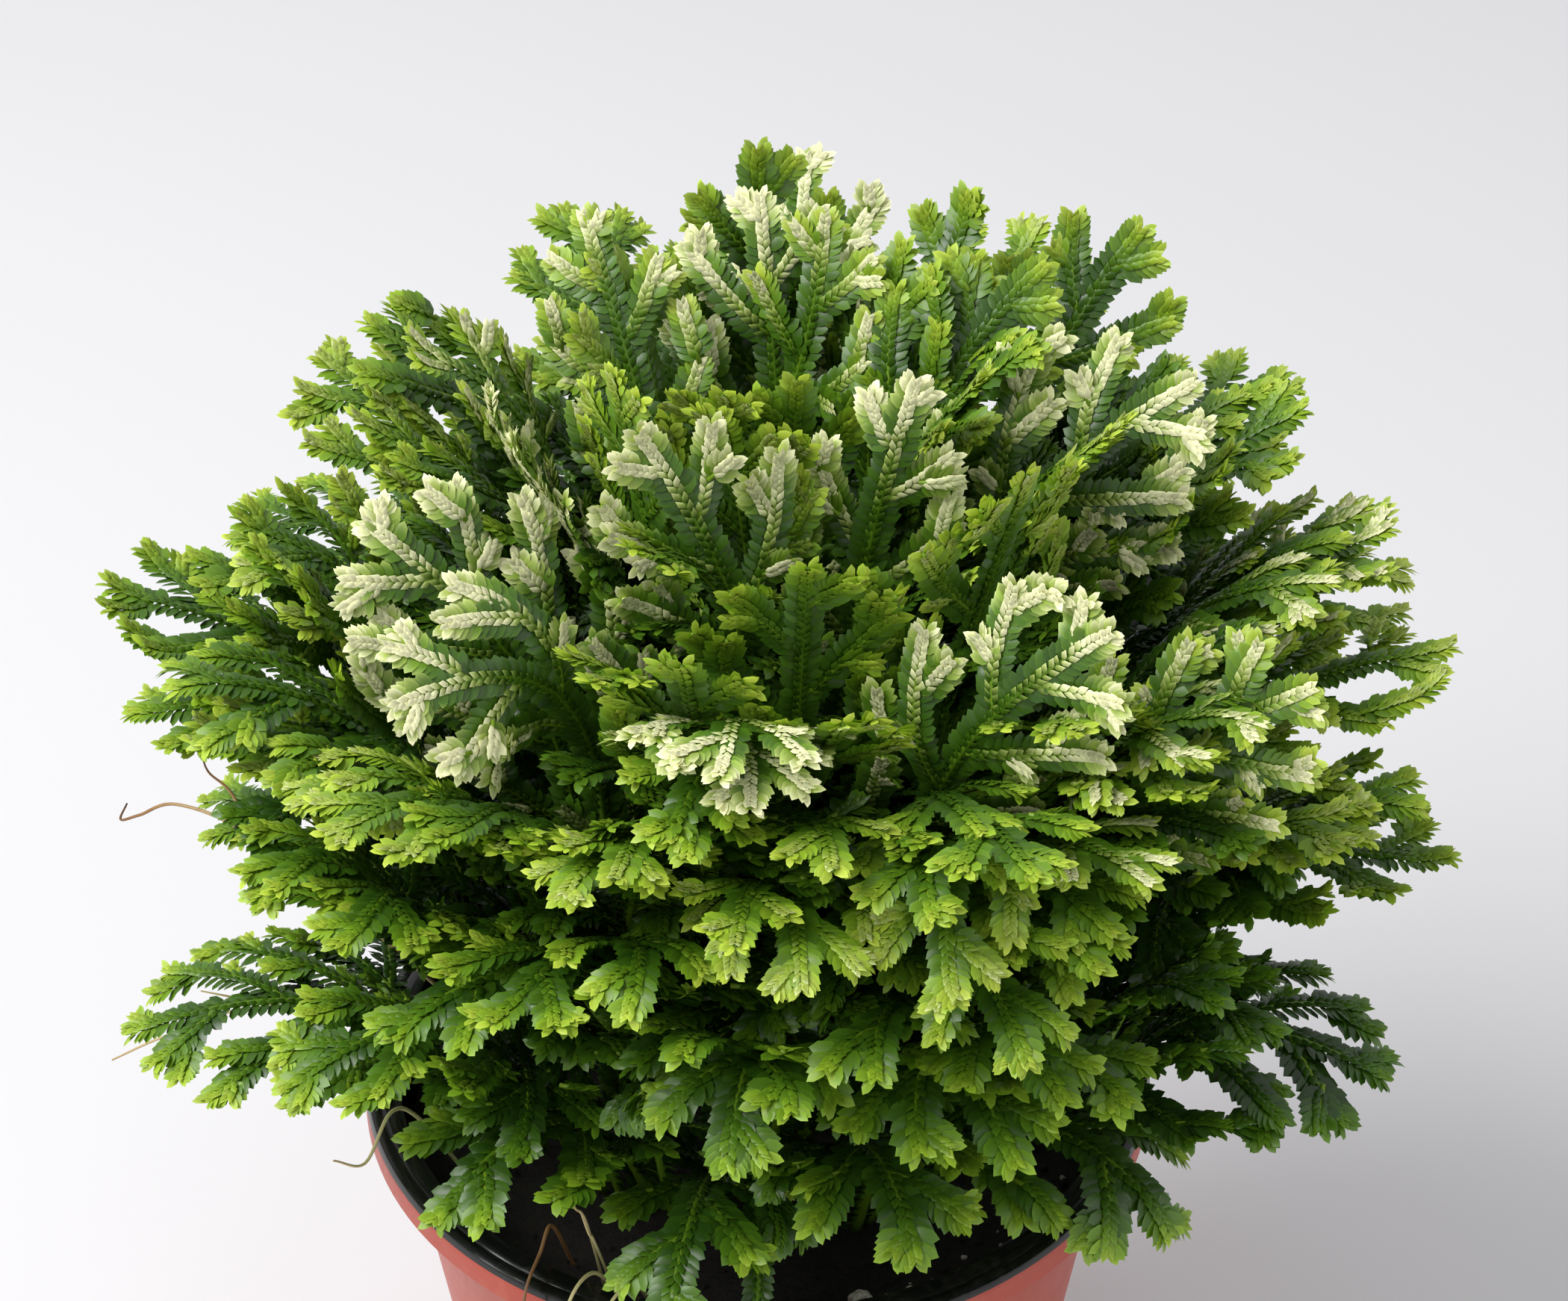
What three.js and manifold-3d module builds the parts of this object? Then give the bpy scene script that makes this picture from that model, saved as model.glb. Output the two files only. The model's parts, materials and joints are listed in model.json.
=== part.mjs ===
// A frosted spikemoss ("frosty fern") in the thin moulded pot that it is sold in.
// Millimetres, +Z up. The origin is the centre of the pot's base; the plant's front faces -Y.
// Azimuths run from the front (-Y) round by the right (+X); tilts are measured from straight up.
import * as THREE from "three";
import { mergeVertices } from "three/addons/utils/BufferGeometryUtils.js";
import Module from "manifold-3d";

// ---- driving dimensions ----
const RIM_RADIUS = 57.5; // outside of the rolled rim
const POT_HEIGHT = 92;
const BASE_RADIUS = 39.5;
const WALL = 0.8;
const RIM_WIDTH = 4.4; // flat top of the rim
const RIM_DEPTH = 5.2; // lip that turns down outside
const COLLAR_HEIGHT = 7; // step under the rim where the body draws in
const COLLAR_STEP = 1.6;
const CHANNEL_INNER = 20; // raised drain ring under the floor
const CHANNEL_OUTER = 31;
const CHANNEL_HEIGHT = 2.4;
const DRAIN_HOLES = 8;
const DRAIN_RADIUS = 3.2;
const SOIL_DROP = 11; // potting mix below the top of the rim
const SOIL_LUMP = 0.8;
const LUMP_LENGTH_X = 9; // the lumps' spread across the mix
const LUMP_LENGTH_Y = 8;
const SOIL_GAP = 0.3; // between the mix and the pot
const FOOT_GAP = 0.6; // between a stem and the mix it grows from
const MOUND_RADIUS = 95;
const MOUND_FLATNESS = 0.97; // height of the mound above its middle, against its radius
const MOUND_LIFT = 51; // middle of the mound above the mix
const MOUND_SHIFT_X = 4;
const STEM_RADIUS = 0.9;
const BLADE_THICKNESS = 1.6;
const BLADE_DROOP = 0.009; // how fast a blade bends down away from its midline, per mm
const ROOT_RADIUS = 0.6;
const GRAIN_RADIUS = 2;

const SOIL_Z = POT_HEIGHT - SOIL_DROP;
const POT_SEGMENTS = 32;
const SOIL_SEGMENTS = 24;
const STRAND_SIDES = 5;

// ---- shoots ----
// name, tilt and azimuth of the tip on the mound, reach (1 is the mound's surface), tilt and azimuth
// of growth at the tip, way the blade faces, length and half width of the blade as shares of the
// mound's radius, tint, and the shoot that it forks from, if any.
const UP = -20; // blade faces the sky
const OUT = 85; // blade stands and faces outwards
const FRONT = "front"; // blade turns to the light at the plant's front
const FRONT_TILT = 54;
const SHOOTS = [
  ["crown_back", 19, 186, 1.06, 13, 186, UP, 0.42, 0.14, "green"],
  ["crown_frost", 16, 187, 1.0, 18, 200, FRONT, 0.42, 0.17, "frost"],
  ["crown_right", 26, 142, 1.02, 38, 142, UP, 0.34, 0.11, "green"],
  ["crown_left", 21, 230, 1.03, 37, 213, FRONT, 0.38, 0.11, "cream"],
  ["upper_right", 38, 127, 1.06, 46, 121, FRONT, 0.46, 0.17, "green"],
  ["centre_frost", 20, 324, 0.98, 34, 258, FRONT, 0.36, 0.15, "frost"],
  ["centre_top", 13, 338, 0.96, 20, 348, OUT, 0.38, 0.14, "lime"],
  ["centre_fan", 16, 38, 0.99, 14, 80, FRONT, 0.40, 0.11, "frost"],
  ["top_right", 23, 112, 1.0, 50, 110, FRONT, 0.40, 0.14, "green"],
  ["arch_right", 34, 88, 1.0, 62, 98, FRONT, 0.44, 0.19, "frost"],
  ["lime_right", 29, 62, 1.0, 48, 60, UP, 0.40, 0.18, "lime", "arch_right"],
  ["lime_front", 28, 40, 1.03, 21, 35, OUT, 0.46, 0.18, "lime"],
  ["green_front", 29, 3, 0.97, 14, 7, OUT, 0.44, 0.17, "green"],
  ["braid_front", 41, 36, 1.07, 47, 69, FRONT, 0.42, 0.15, "frost"],
  ["frost_right", 52, 54, 1.07, 55, 76, FRONT, 0.44, 0.16, "frost"],
  ["cream_right", 52, 49, 1.03, 78, 60, UP, 0.40, 0.17, "cream", "frost_right"],
  ["right_high", 47, 99, 1.02, 70, 99, UP, 0.44, 0.17, "green"],
  ["right_cream", 57, 90, 1.03, 75, 88, UP, 0.44, 0.19, "cream"],
  ["right_mid", 66, 84, 1.04, 84, 88, UP, 0.46, 0.16, "green"],
  ["right_low", 83, 77, 0.98, 99, 80, UP, 0.42, 0.16, "green"],
  ["right_lime", 72, 65, 0.93, 102, 66, UP, 0.34, 0.14, "lime", "right_low"],
  ["right_open_fan", 95, 62, 0.96, 110, 67, UP, 0.50, 0.23, "dark"],
  ["front_right", 64, 31, 0.91, 101, 34, UP, 0.38, 0.15, "lime"],
  ["lime_low_right", 56, 21, 1.04, 93, 24, UP, 0.33, 0.13, "lime", "front_right"],
  ["front_right_low", 80, 26, 0.84, 106, 25, UP, 0.37, 0.15, "green"],
  ["droop_right", 108, 43, 0.84, 128, 42, UP, 0.38, 0.16, "green"],
  ["droop_front", 106, 14, 0.74, 130, 12, UP, 0.36, 0.15, "green"],
  ["front_cream", 63, 1, 0.90, 102, 2, UP, 0.35, 0.14, "cream"],
  ["front_low", 84, 354, 0.80, 112, 354, UP, 0.36, 0.15, "green", "front_cream"],
  ["droop_left", 114, 346, 0.80, 130, 344, UP, 0.40, 0.17, "green"],
  ["droop_left_rim", 104, 322, 0.82, 128, 322, UP, 0.38, 0.15, "green"],
  ["lime_left", 71, 333, 0.90, 102, 331, UP, 0.37, 0.17, "lime"],
  ["edge_front", 56, 343, 0.93, 95, 345, UP, 0.33, 0.11, "lime", "lime_left"],
  ["edge_left", 59, 317, 1.02, 93, 313, UP, 0.36, 0.15, "cream"],
  ["centre_green", 38, 347, 0.97, 25, 349, OUT, 0.38, 0.13, "green"],
  ["centre_hanging", 47, 353, 1.0, 100, 350, UP, 0.34, 0.16, "frost", "centre_green"],
  ["frost_left", 39, 293, 0.97, 50, 264, FRONT, 0.48, 0.19, "frost"],
  ["frost_left_low", 48, 318, 1.02, 92, 306, FRONT, 0.36, 0.15, "frost"],
  ["left_fan", 17, 308, 1.00, 11, 297, OUT, 0.35, 0.11, "cream"],
  ["left_high_green", 38, 250, 1.02, 58, 246, UP, 0.40, 0.18, "green"],
  ["left_high", 32, 263, 1.0, 70, 263, UP, 0.33, 0.12, "cream", "left_high_green"],
  ["far_left", 67, 266, 1.07, 85, 265, UP, 0.51, 0.19, "green"],
  ["far_left_cream", 59, 290, 1.04, 82, 282, UP, 0.44, 0.21, "cream"],
  ["left_green", 49, 279, 1.01, 75, 275, UP, 0.44, 0.17, "green", "far_left_cream"],
  ["left_open_fan", 98, 286, 1.0, 108, 279, UP, 0.46, 0.22, "green"],
  ["left_rim", 91, 308, 0.88, 115, 305, UP, 0.36, 0.16, "lime"],
  ["left_low", 70, 302, 0.92, 98, 296, UP, 0.36, 0.15, "lime", "left_rim"],
  ["back_high", 32, 176, 1.03, 54, 174, UP, 0.44, 0.17, "frost"],
  ["back_high_left", 43, 208, 1.02, 60, 208, UP, 0.44, 0.19, "green", "back_high"],
  ["back_high_right", 46, 148, 1.02, 65, 148, UP, 0.44, 0.19, "lime"],
  ["back_right", 56, 118, 1.02, 75, 118, UP, 0.44, 0.19, "green", "back_high_right"],
  ["back_middle", 60, 180, 1.02, 82, 180, UP, 0.44, 0.20, "cream"],
  ["back_low", 88, 172, 0.98, 104, 172, UP, 0.42, 0.18, "green", "back_middle"],
  ["back_left", 57, 235, 1.02, 78, 236, UP, 0.44, 0.19, "lime"],
  ["back_low_left", 75, 238, 1.02, 95, 240, UP, 0.44, 0.19, "green", "back_left"],
  ["back_low_middle", 76, 206, 1.02, 95, 206, UP, 0.44, 0.19, "lime"],
  ["back_droop_left", 108, 222, 0.88, 122, 222, UP, 0.38, 0.16, "green", "back_low_middle"],
  ["back_low_right", 75, 138, 1.02, 95, 138, UP, 0.44, 0.19, "green"],
  ["back_droop", 110, 150, 0.86, 124, 150, UP, 0.38, 0.16, "dark", "back_low_right"],
  ["back_side_right", 72, 106, 1.02, 92, 106, UP, 0.44, 0.18, "lime"],
  ["back_droop_right", 106, 118, 0.90, 120, 118, UP, 0.38, 0.16, "green", "back_side_right"],
  ["back_droop_middle", 112, 186, 0.84, 124, 186, UP, 0.38, 0.17, "green"],
  ["back_side_left", 98, 254, 0.95, 112, 256, UP, 0.40, 0.17, "green"],
];

// ---- aerial roots ----
// name, then the points that the strand follows: azimuth, distance out from the rim's edge, height
// above the rim.
const MIX = 1 - SOIL_DROP; // just above the mix
const ROOTS = [
  ["root_left_curl", [270, -23, -2], [271, -3, 24], [268, 14, 39], [265, 25, 41], [264, 33, 36]],
  ["root_left_straight", [275, -16, -8], [275, -2, 10], [275, 15, 14.5], [274, 28, 9], [274, 36, 5]],
  ["root_rim_left", [288, -12.5, MIX], [289, -6, 3], [292, -1.5, 7.5], [296, 4, 3.5], [297, 9, 7]],
  ["root_front_brown", [322, -15, MIX], [324, -9, 3], [326, -4, 3], [328, 3, 0], [328, 4, -18]],
  ["root_front_pale", [336, -12, MIX], [335, -4, 3], [334, 3, 0], [332, 4, -22]],
];
const TRAILING_SHOOT = [[0, -11, MIX], [0, -3, 3], [359, 4, -2], [358, 5, -26]];

// ---- loose bits: azimuth, distance in from the rim edge, size ----
const GRAINS = [[18, 11.5, 1], [27, 10.5, 0.8], [8, 10.5, 0.7]];
const SCRAP = { azimuth: 277, inset: 2.6, width: 5.5, curl: 2.0, thickness: 0.7 }; // on the rim

const wasm = await Module();
wasm.setup();
const rad = THREE.MathUtils.degToRad;

function toward(azimuth, tilt = 90) {
  const level = Math.sin(rad(tilt));
  return new THREE.Vector3(
    level * Math.sin(rad(azimuth)),
    -level * Math.cos(rad(azimuth)),
    Math.cos(rad(tilt)),
  );
}

function place(azimuth, distance, height) {
  return toward(azimuth).multiplyScalar(distance).setZ(height);
}

function toSolid(geometry) {
  const bare = geometry.clone();
  bare.deleteAttribute("normal");
  bare.deleteAttribute("uv");
  const merged = mergeVertices(bare, 1e-4);
  return new wasm.Manifold(
    new wasm.Mesh({
      numProp: 3,
      vertProperties: merged.attributes.position.array,
      triVerts: new Uint32Array(merged.index.array),
    }),
  );
}

function toGeometry(solid) {
  const mesh = solid.getMesh();
  const geometry = new THREE.BufferGeometry();
  geometry.setAttribute("position", new THREE.BufferAttribute(mesh.vertProperties, 3));
  geometry.setIndex(new THREE.BufferAttribute(mesh.triVerts, 1));
  geometry.computeVertexNormals();
  return geometry;
}

const plant = new THREE.Group();

function addPiece(name, geometry, color, roughness) {
  const material = new THREE.MeshStandardMaterial({ color, roughness, metalness: 0 });
  const mesh = new THREE.Mesh(geometry, material);
  mesh.name = name;
  plant.add(mesh);
}

// ---- pot ----
const BODY_TOP_Z = POT_HEIGHT - RIM_DEPTH - COLLAR_HEIGHT;
const NECK_RADIUS = RIM_RADIUS - RIM_WIDTH; // wall just under the rim
const BODY_TOP_RADIUS = NECK_RADIUS - COLLAR_STEP;
const CORNER = 1.6;
const NECK_RISE = COLLAR_STEP + 1; // height over which the collar widens to the neck
const GROOVE_DEPTH = 0.3; // fine groove round the rim's flat top
const GROOVE_HALF_WIDTH = 0.5;
const DRILL_SIDES = 10;

// The pot's skin at an inward distance from its outside, from the axis out and up to the rim.
function skin(inset) {
  return [
    [0, inset],
    [CHANNEL_INNER - inset, inset],
    [CHANNEL_INNER + CHANNEL_HEIGHT / 2 - inset, CHANNEL_HEIGHT + inset],
    [CHANNEL_OUTER - CHANNEL_HEIGHT / 2 + inset, CHANNEL_HEIGHT + inset],
    [CHANNEL_OUTER + inset, inset],
    [BASE_RADIUS - CORNER - inset / 2, inset],
    [BASE_RADIUS - inset, CORNER + inset / 2],
    [BODY_TOP_RADIUS - inset, BODY_TOP_Z],
    [NECK_RADIUS - inset, BODY_TOP_Z + NECK_RISE],
    [NECK_RADIUS - inset, POT_HEIGHT - WALL],
  ];
}

function potGeometry() {
  const lipInner = RIM_RADIUS - WALL;
  const lipFoot = POT_HEIGHT - RIM_DEPTH;
  const underTop = POT_HEIGHT - WALL;
  const groove = RIM_RADIUS - RIM_WIDTH / 2;
  const rim = [
    [lipInner, underTop],
    [lipInner, lipFoot],
    [RIM_RADIUS, lipFoot],
    [RIM_RADIUS, POT_HEIGHT - WALL],
    [RIM_RADIUS - WALL, POT_HEIGHT],
    [groove + GROOVE_HALF_WIDTH, POT_HEIGHT],
    [groove, POT_HEIGHT - GROOVE_DEPTH],
    [groove - GROOVE_HALF_WIDTH, POT_HEIGHT],
    [NECK_RADIUS, POT_HEIGHT],
  ];
  const profile = [...skin(0), ...rim, ...skin(WALL).reverse()];
  const points = profile.map(([r, z]) => new THREE.Vector2(r, z));
  const shell = new THREE.LatheGeometry(points, POT_SEGMENTS).rotateX(Math.PI / 2);
  let solid = toSolid(shell);
  for (let i = 0; i < DRAIN_HOLES; i++) {
    const length = 4 * CHANNEL_HEIGHT;
    const drill = new THREE.CylinderGeometry(DRAIN_RADIUS, DRAIN_RADIUS, length, DRILL_SIDES);
    const at = place((360 / DRAIN_HOLES) * i, (CHANNEL_INNER + CHANNEL_OUTER) / 2, CHANNEL_HEIGHT);
    drill.rotateX(Math.PI / 2).translate(at.x, at.y, at.z);
    solid = solid.subtract(toSolid(drill));
  }
  return toGeometry(solid);
}

addPiece("pot", potGeometry(), 0xb5452f, 0.45);

// ---- potting mix ----
const MIX_RINGS = [1, 0.76, 0.5, 0.25, 0]; // of the top's radius
const FLAT_EDGE = 0.9; // lumps stop at this share of it

function soilHeight(x, y) {
  return SOIL_Z + SOIL_LUMP * Math.sin(x / LUMP_LENGTH_X) * Math.cos(y / LUMP_LENGTH_Y);
}

function mixGeometry() {
  const inside = WALL + SOIL_GAP;
  const wallPoints = skin(inside).filter(([, z]) => z < SOIL_Z);
  const [lowRadius, lowZ] = wallPoints.at(-1);
  const [highRadius, highZ] = skin(inside).find(([, z]) => z >= SOIL_Z);
  const share = (SOIL_Z - lowZ) / (highZ - lowZ);
  const topRadius = lowRadius + share * (highRadius - lowRadius);
  const rings = MIX_RINGS.map((part) => [part * topRadius, SOIL_Z]);
  const points = [...wallPoints, ...rings].map(([r, z]) => new THREE.Vector2(r, z));
  const geometry = new THREE.LatheGeometry(points, SOIL_SEGMENTS).rotateX(Math.PI / 2);
  const position = geometry.attributes.position;
  for (let i = 0; i < position.count; i++) {
    const x = position.getX(i);
    const y = position.getY(i);
    const atEdge = Math.hypot(x, y) > FLAT_EDGE * topRadius;
    if (position.getZ(i) > SOIL_Z - 0.01 && !atEdge) position.setZ(i, soilHeight(x, y));
  }
  return toGeometry(toSolid(geometry));
}

addPiece("potting_mix", mixGeometry(), 0x15110e, 0.95);

// ---- tubes ----
function tube(points, radius, sides, steps) {
  const section = new THREE.Shape();
  for (let i = 0; i < sides; i++) {
    const turn = (2 * Math.PI * i) / sides;
    const corner = [radius * Math.cos(turn), radius * Math.sin(turn)];
    if (i === 0) section.moveTo(...corner);
    else section.lineTo(...corner);
  }
  section.closePath();
  return new THREE.ExtrudeGeometry(section, {
    steps,
    extrudePath: new THREE.CatmullRomCurve3(points),
    bevelEnabled: false,
  });
}

// ---- shoots ----
// A shoot's midline rises from the mix, or leaves its parent, and arches over to its tip.
const FOOT_SHARE = 0.36; // distance of a foot from the axis, as a share of its tip's
const FORK = 0.42; // where on its parent a side shoot starts
const RISE = 0.5; // pull of the upright start and of the tip's direction on the arch
const REACH_BACK = 0.38;
const LEAN = 0.004; // how far a stem leans out as it leaves the mix, per mm from the axis

const mound = new THREE.Vector3(MOUND_SHIFT_X, 0, SOIL_Z + MOUND_LIFT);
const midlines = new Map();

function midlineOf([name, tilt, azimuth, reach, growTilt, growAzimuth, , , , , parent]) {
  const out = toward(azimuth, tilt).multiply(new THREE.Vector3(1, 1, MOUND_FLATNESS));
  const tip = mound.clone().addScaledVector(out, reach * MOUND_RADIUS);
  const start = new THREE.Vector3(tip.x * FOOT_SHARE, tip.y * FOOT_SHARE, 0);
  start.setZ(soilHeight(start.x, start.y) + FOOT_GAP);
  const rise = new THREE.Vector3(tip.x, tip.y, 0).multiplyScalar(LEAN).setZ(1).normalize();
  if (parent) {
    const stem = midlines.get(parent);
    start.copy(stem.getPointAt(FORK));
    rise.copy(stem.getTangentAt(FORK));
  }
  const span = start.distanceTo(tip);
  const curve = new THREE.CubicBezierCurve3(
    start,
    start.clone().addScaledVector(rise, RISE * span),
    tip.clone().addScaledVector(toward(growAzimuth, growTilt), -REACH_BACK * span),
    tip,
  );
  midlines.set(name, curve);
  return curve;
}

// A shoot is one bent sheet: a strip for its stem, then a hand of fingers about the midline's end.
const FINGERS = 5;
const FINGER_SWEEP = 58; // half angle of the hand, degrees
const GAP_DEPTH = 0.62; // gaps between the fingers, against the fingers' length
const OUTER_FINGER = 0.72; // length of the outermost finger against the middle one
const PALM = 2; // middle of the palm, past the end of the stem
const STEM_STEPS = 4;
const FORK_BITE = 0.5; // a side stem starts this far inside its parent's

function handOutline(length, halfWidth) {
  const widest = OUTER_FINGER * Math.sin(rad(FINGER_SWEEP));
  const point = (angle, radius) => [
    length * radius * Math.cos(rad(angle)),
    (halfWidth / widest) * radius * Math.sin(rad(angle)),
  ];
  const outline = [];
  const step = (2 * FINGER_SWEEP) / (FINGERS - 1);
  for (let i = 0; i < FINGERS; i++) {
    const angle = -FINGER_SWEEP + i * step;
    const radius = 1 - (1 - OUTER_FINGER) * (angle / FINGER_SWEEP) ** 2;
    outline.push(point(angle - step / 2, GAP_DEPTH * radius));
    outline.push(point(angle, radius));
  }
  outline.push(point(FINGER_SWEEP + step / 2, GAP_DEPTH * OUTER_FINGER));
  return outline;
}

// The sheet's points as [along, across], its triangles, and its edge as a loop of point numbers.
function shootSheet(stemLength, length, halfWidth) {
  const points = [];
  const triangles = [];
  for (let i = 0; i <= STEM_STEPS; i++) {
    const along = -stemLength * (1 - i / STEM_STEPS);
    points.push([along, -STEM_RADIUS], [along, STEM_RADIUS]);
    if (i < STEM_STEPS) {
      const [a, b, c, d] = [2 * i, 2 * i + 1, 2 * i + 2, 2 * i + 3];
      triangles.push([a, c, b], [b, c, d]);
    }
  }
  const right = 2 * STEM_STEPS;
  const left = right + 1;
  const palm = points.push([PALM, 0]) - 1;
  const outline = handOutline(length, halfWidth);
  const inner = outline.map(([along, across]) => points.push([along / 2, across / 2]) - 1);
  const outer = outline.map((at) => points.push(at) - 1);
  const ring = [right, ...inner, left];
  for (let i = 0; i + 1 < ring.length; i++) triangles.push([palm, ring[i], ring[i + 1]]);
  triangles.push([palm, left, right]);
  for (let i = 0; i + 1 < inner.length; i++) {
    triangles.push([inner[i], outer[i], outer[i + 1]], [inner[i], outer[i + 1], inner[i + 1]]);
  }
  triangles.push([right, outer[0], inner[0]], [inner.at(-1), outer.at(-1), left]);
  const rightEdge = [];
  const leftEdge = [];
  for (let i = 0; i <= STEM_STEPS; i++) {
    rightEdge.push(2 * i);
    leftEdge.unshift(2 * i + 1);
  }
  return { points, triangles, edge: [...rightEdge, ...outer, ...leftEdge] };
}

function shootSolid(row) {
  const [, , azimuth, , , , facing, lengthShare, widthShare, , parent] = row;
  const curve = midlineOf(row);
  const whole = curve.getLength();
  const length = lengthShare * MOUND_RADIUS;
  const stemLength = whole - length;
  const reference = facing === FRONT ? toward(0, FRONT_TILT) : toward(azimuth, facing);

  const onSheet = ([along, across], lift) => {
    const distance = stemLength + along;
    const at = THREE.MathUtils.clamp(distance / whole, 0, 1);
    const tangent = curve.getTangentAt(at);
    const side = new THREE.Vector3().crossVectors(tangent, reference).normalize();
    const face = new THREE.Vector3().crossVectors(side, tangent);
    const fall = BLADE_DROOP * across * across;
    const point = curve.getPointAt(at).addScaledVector(side, across);
    return point.addScaledVector(face, lift - fall).addScaledVector(tangent, Math.min(distance, 0));
  };

  const bite = parent ? FORK_BITE : 0;
  const sheet = shootSheet(stemLength + bite, length, widthShare * MOUND_RADIUS);
  const count = sheet.points.length;
  const corners = [
    ...sheet.points.map((at) => onSheet(at, BLADE_THICKNESS / 2)),
    ...sheet.points.map((at) => onSheet(at, -BLADE_THICKNESS / 2)),
  ];
  const faces = [];
  for (const [a, b, c] of sheet.triangles) faces.push(a, c, b, count + a, count + b, count + c);
  sheet.edge.forEach((a, i) => {
    const b = sheet.edge[(i + 1) % sheet.edge.length];
    faces.push(a, b, count + a, b, count + b, count + a);
  });
  const geometry = new THREE.BufferGeometry().setFromPoints(corners);
  geometry.setIndex(faces);
  return toSolid(geometry);
}

const TINTS = { dark: 0x1f4a1c, green: 0x3f7d22, lime: 0x8fbf3a, cream: 0xc9d69a, frost: 0xe6ead2 };
const solids = new Map();
for (const row of SHOOTS) {
  const owner = row[10] ?? row[0];
  const shoot = shootSolid(row);
  const grown = solids.get(owner);
  solids.set(owner, grown ? grown.add(shoot) : shoot);
}
for (const [name, , , , , , , , , tint, parent] of SHOOTS) {
  if (!parent) addPiece(`shoot_${name}`, toGeometry(solids.get(name)), TINTS[tint], 0.5);
}

// ---- aerial roots and the trailing shoot ----
function byRim([azimuth, outward, above]) {
  return place(azimuth, RIM_RADIUS + outward, POT_HEIGHT + above);
}

for (const [name, ...route] of ROOTS) {
  const points = route.map(byRim);
  const strand = tube(points, ROOT_RADIUS, STRAND_SIDES, 3 * points.length);
  addPiece(name, toGeometry(toSolid(strand)), 0xb08a5a, 0.6);
}
const trail = TRAILING_SHOOT.map(byRim);
const trailingStem = tube(trail, STEM_RADIUS, STRAND_SIDES, 3 * trail.length);
addPiece("trailing_shoot", toGeometry(toSolid(trailingStem)), 0x5c8f3a, 0.5);

// ---- perlite grains ----
GRAINS.forEach(([azimuth, inset, size], i) => {
  const grain = new THREE.DodecahedronGeometry(GRAIN_RADIUS * size);
  const at = place(azimuth, RIM_RADIUS - inset, 0);
  at.setZ(soilHeight(at.x, at.y) + GRAIN_RADIUS * size + FOOT_GAP);
  grain.translate(at.x, at.y, at.z);
  addPiece(`perlite_grain_${i + 1}`, toGeometry(toSolid(grain)), 0xd9d4c6, 0.8);
});

// ---- dry scrap ----
// An old leaf end, curled into a half pipe, lies on top of the rim at the left.
function scrapGeometry({ azimuth, inset, width, curl, thickness }) {
  const arc = new THREE.Shape();
  arc.absarc(0, 0, curl, 0, 1.2 * Math.PI, false);
  arc.absarc(0, 0, curl - thickness, 1.2 * Math.PI, 0, true);
  arc.closePath();
  const at = place(azimuth, RIM_RADIUS - inset, 0);
  return new THREE.ExtrudeGeometry(arc, { depth: width, bevelEnabled: false, curveSegments: 6 })
    .rotateX(Math.PI / 2)
    .translate(at.x, at.y + width / 2, POT_HEIGHT + curl + FOOT_GAP);
}
addPiece("dry_scrap", toGeometry(toSolid(scrapGeometry(SCRAP))), 0xa5855a, 0.8);

export default plant;
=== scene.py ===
# A frosted spikemoss in the thin two-coloured pot that it is sold in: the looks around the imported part.
# Metres, +Z up. The plant's front faces -Y. Azimuths run from the front round by the right (+X), and
# tilts are measured from straight up.
import json
import math
from typing import NamedTuple

import bpy
import numpy as np
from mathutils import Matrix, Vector

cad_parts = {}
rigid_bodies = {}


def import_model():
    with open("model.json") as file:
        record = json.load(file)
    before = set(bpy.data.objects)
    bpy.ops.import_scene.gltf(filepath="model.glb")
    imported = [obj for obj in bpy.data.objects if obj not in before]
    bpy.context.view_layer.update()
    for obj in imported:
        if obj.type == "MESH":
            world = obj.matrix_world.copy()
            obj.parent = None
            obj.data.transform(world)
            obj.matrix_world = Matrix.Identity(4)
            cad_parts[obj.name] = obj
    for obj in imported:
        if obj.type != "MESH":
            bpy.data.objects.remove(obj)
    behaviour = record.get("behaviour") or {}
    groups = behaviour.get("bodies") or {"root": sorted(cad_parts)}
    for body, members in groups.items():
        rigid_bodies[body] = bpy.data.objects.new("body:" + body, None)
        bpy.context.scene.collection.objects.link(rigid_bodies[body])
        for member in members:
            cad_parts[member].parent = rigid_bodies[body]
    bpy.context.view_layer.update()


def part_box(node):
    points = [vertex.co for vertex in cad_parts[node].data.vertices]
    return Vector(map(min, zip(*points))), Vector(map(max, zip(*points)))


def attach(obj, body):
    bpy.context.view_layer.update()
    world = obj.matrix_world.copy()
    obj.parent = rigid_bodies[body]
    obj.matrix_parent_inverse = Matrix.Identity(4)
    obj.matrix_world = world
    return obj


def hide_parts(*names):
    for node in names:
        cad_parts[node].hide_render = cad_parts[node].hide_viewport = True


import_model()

# ---------------------------------------------------------------------------------------------
# The pot. A thin-walled nursery pot of two plastics moulded together: brick red outside, gloss
# black inside and over the rolled rim. Each wall is pulled up ring by ring from a round floor.
# ---------------------------------------------------------------------------------------------
RIM_RADIUS = 0.0575
POT_HEIGHT = 0.092
BASE_RADIUS = 0.0395
FOOT_ROUND = 0.0018
WALL = 0.0008
RIM_WIDTH = 0.0044
RIM_DEPTH = 0.0052
COLLAR_HEIGHT = 0.007
COLLAR_STEP = 0.0016
CHANNEL_INNER = 0.020
CHANNEL_OUTER = 0.031
CHANNEL_HEIGHT = 0.0024
DRAIN_HOLES = 8
DRAIN_RADIUS = 0.0032
DRILL_LENGTH = 0.009
BODY_TOP_Z = POT_HEIGHT - RIM_DEPTH - COLLAR_HEIGHT
NECK_RADIUS = RIM_RADIUS - RIM_WIDTH
BODY_TOP_RADIUS = NECK_RADIUS - COLLAR_STEP
POT_SIDES = 128
BODY_RINGS = 6


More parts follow.
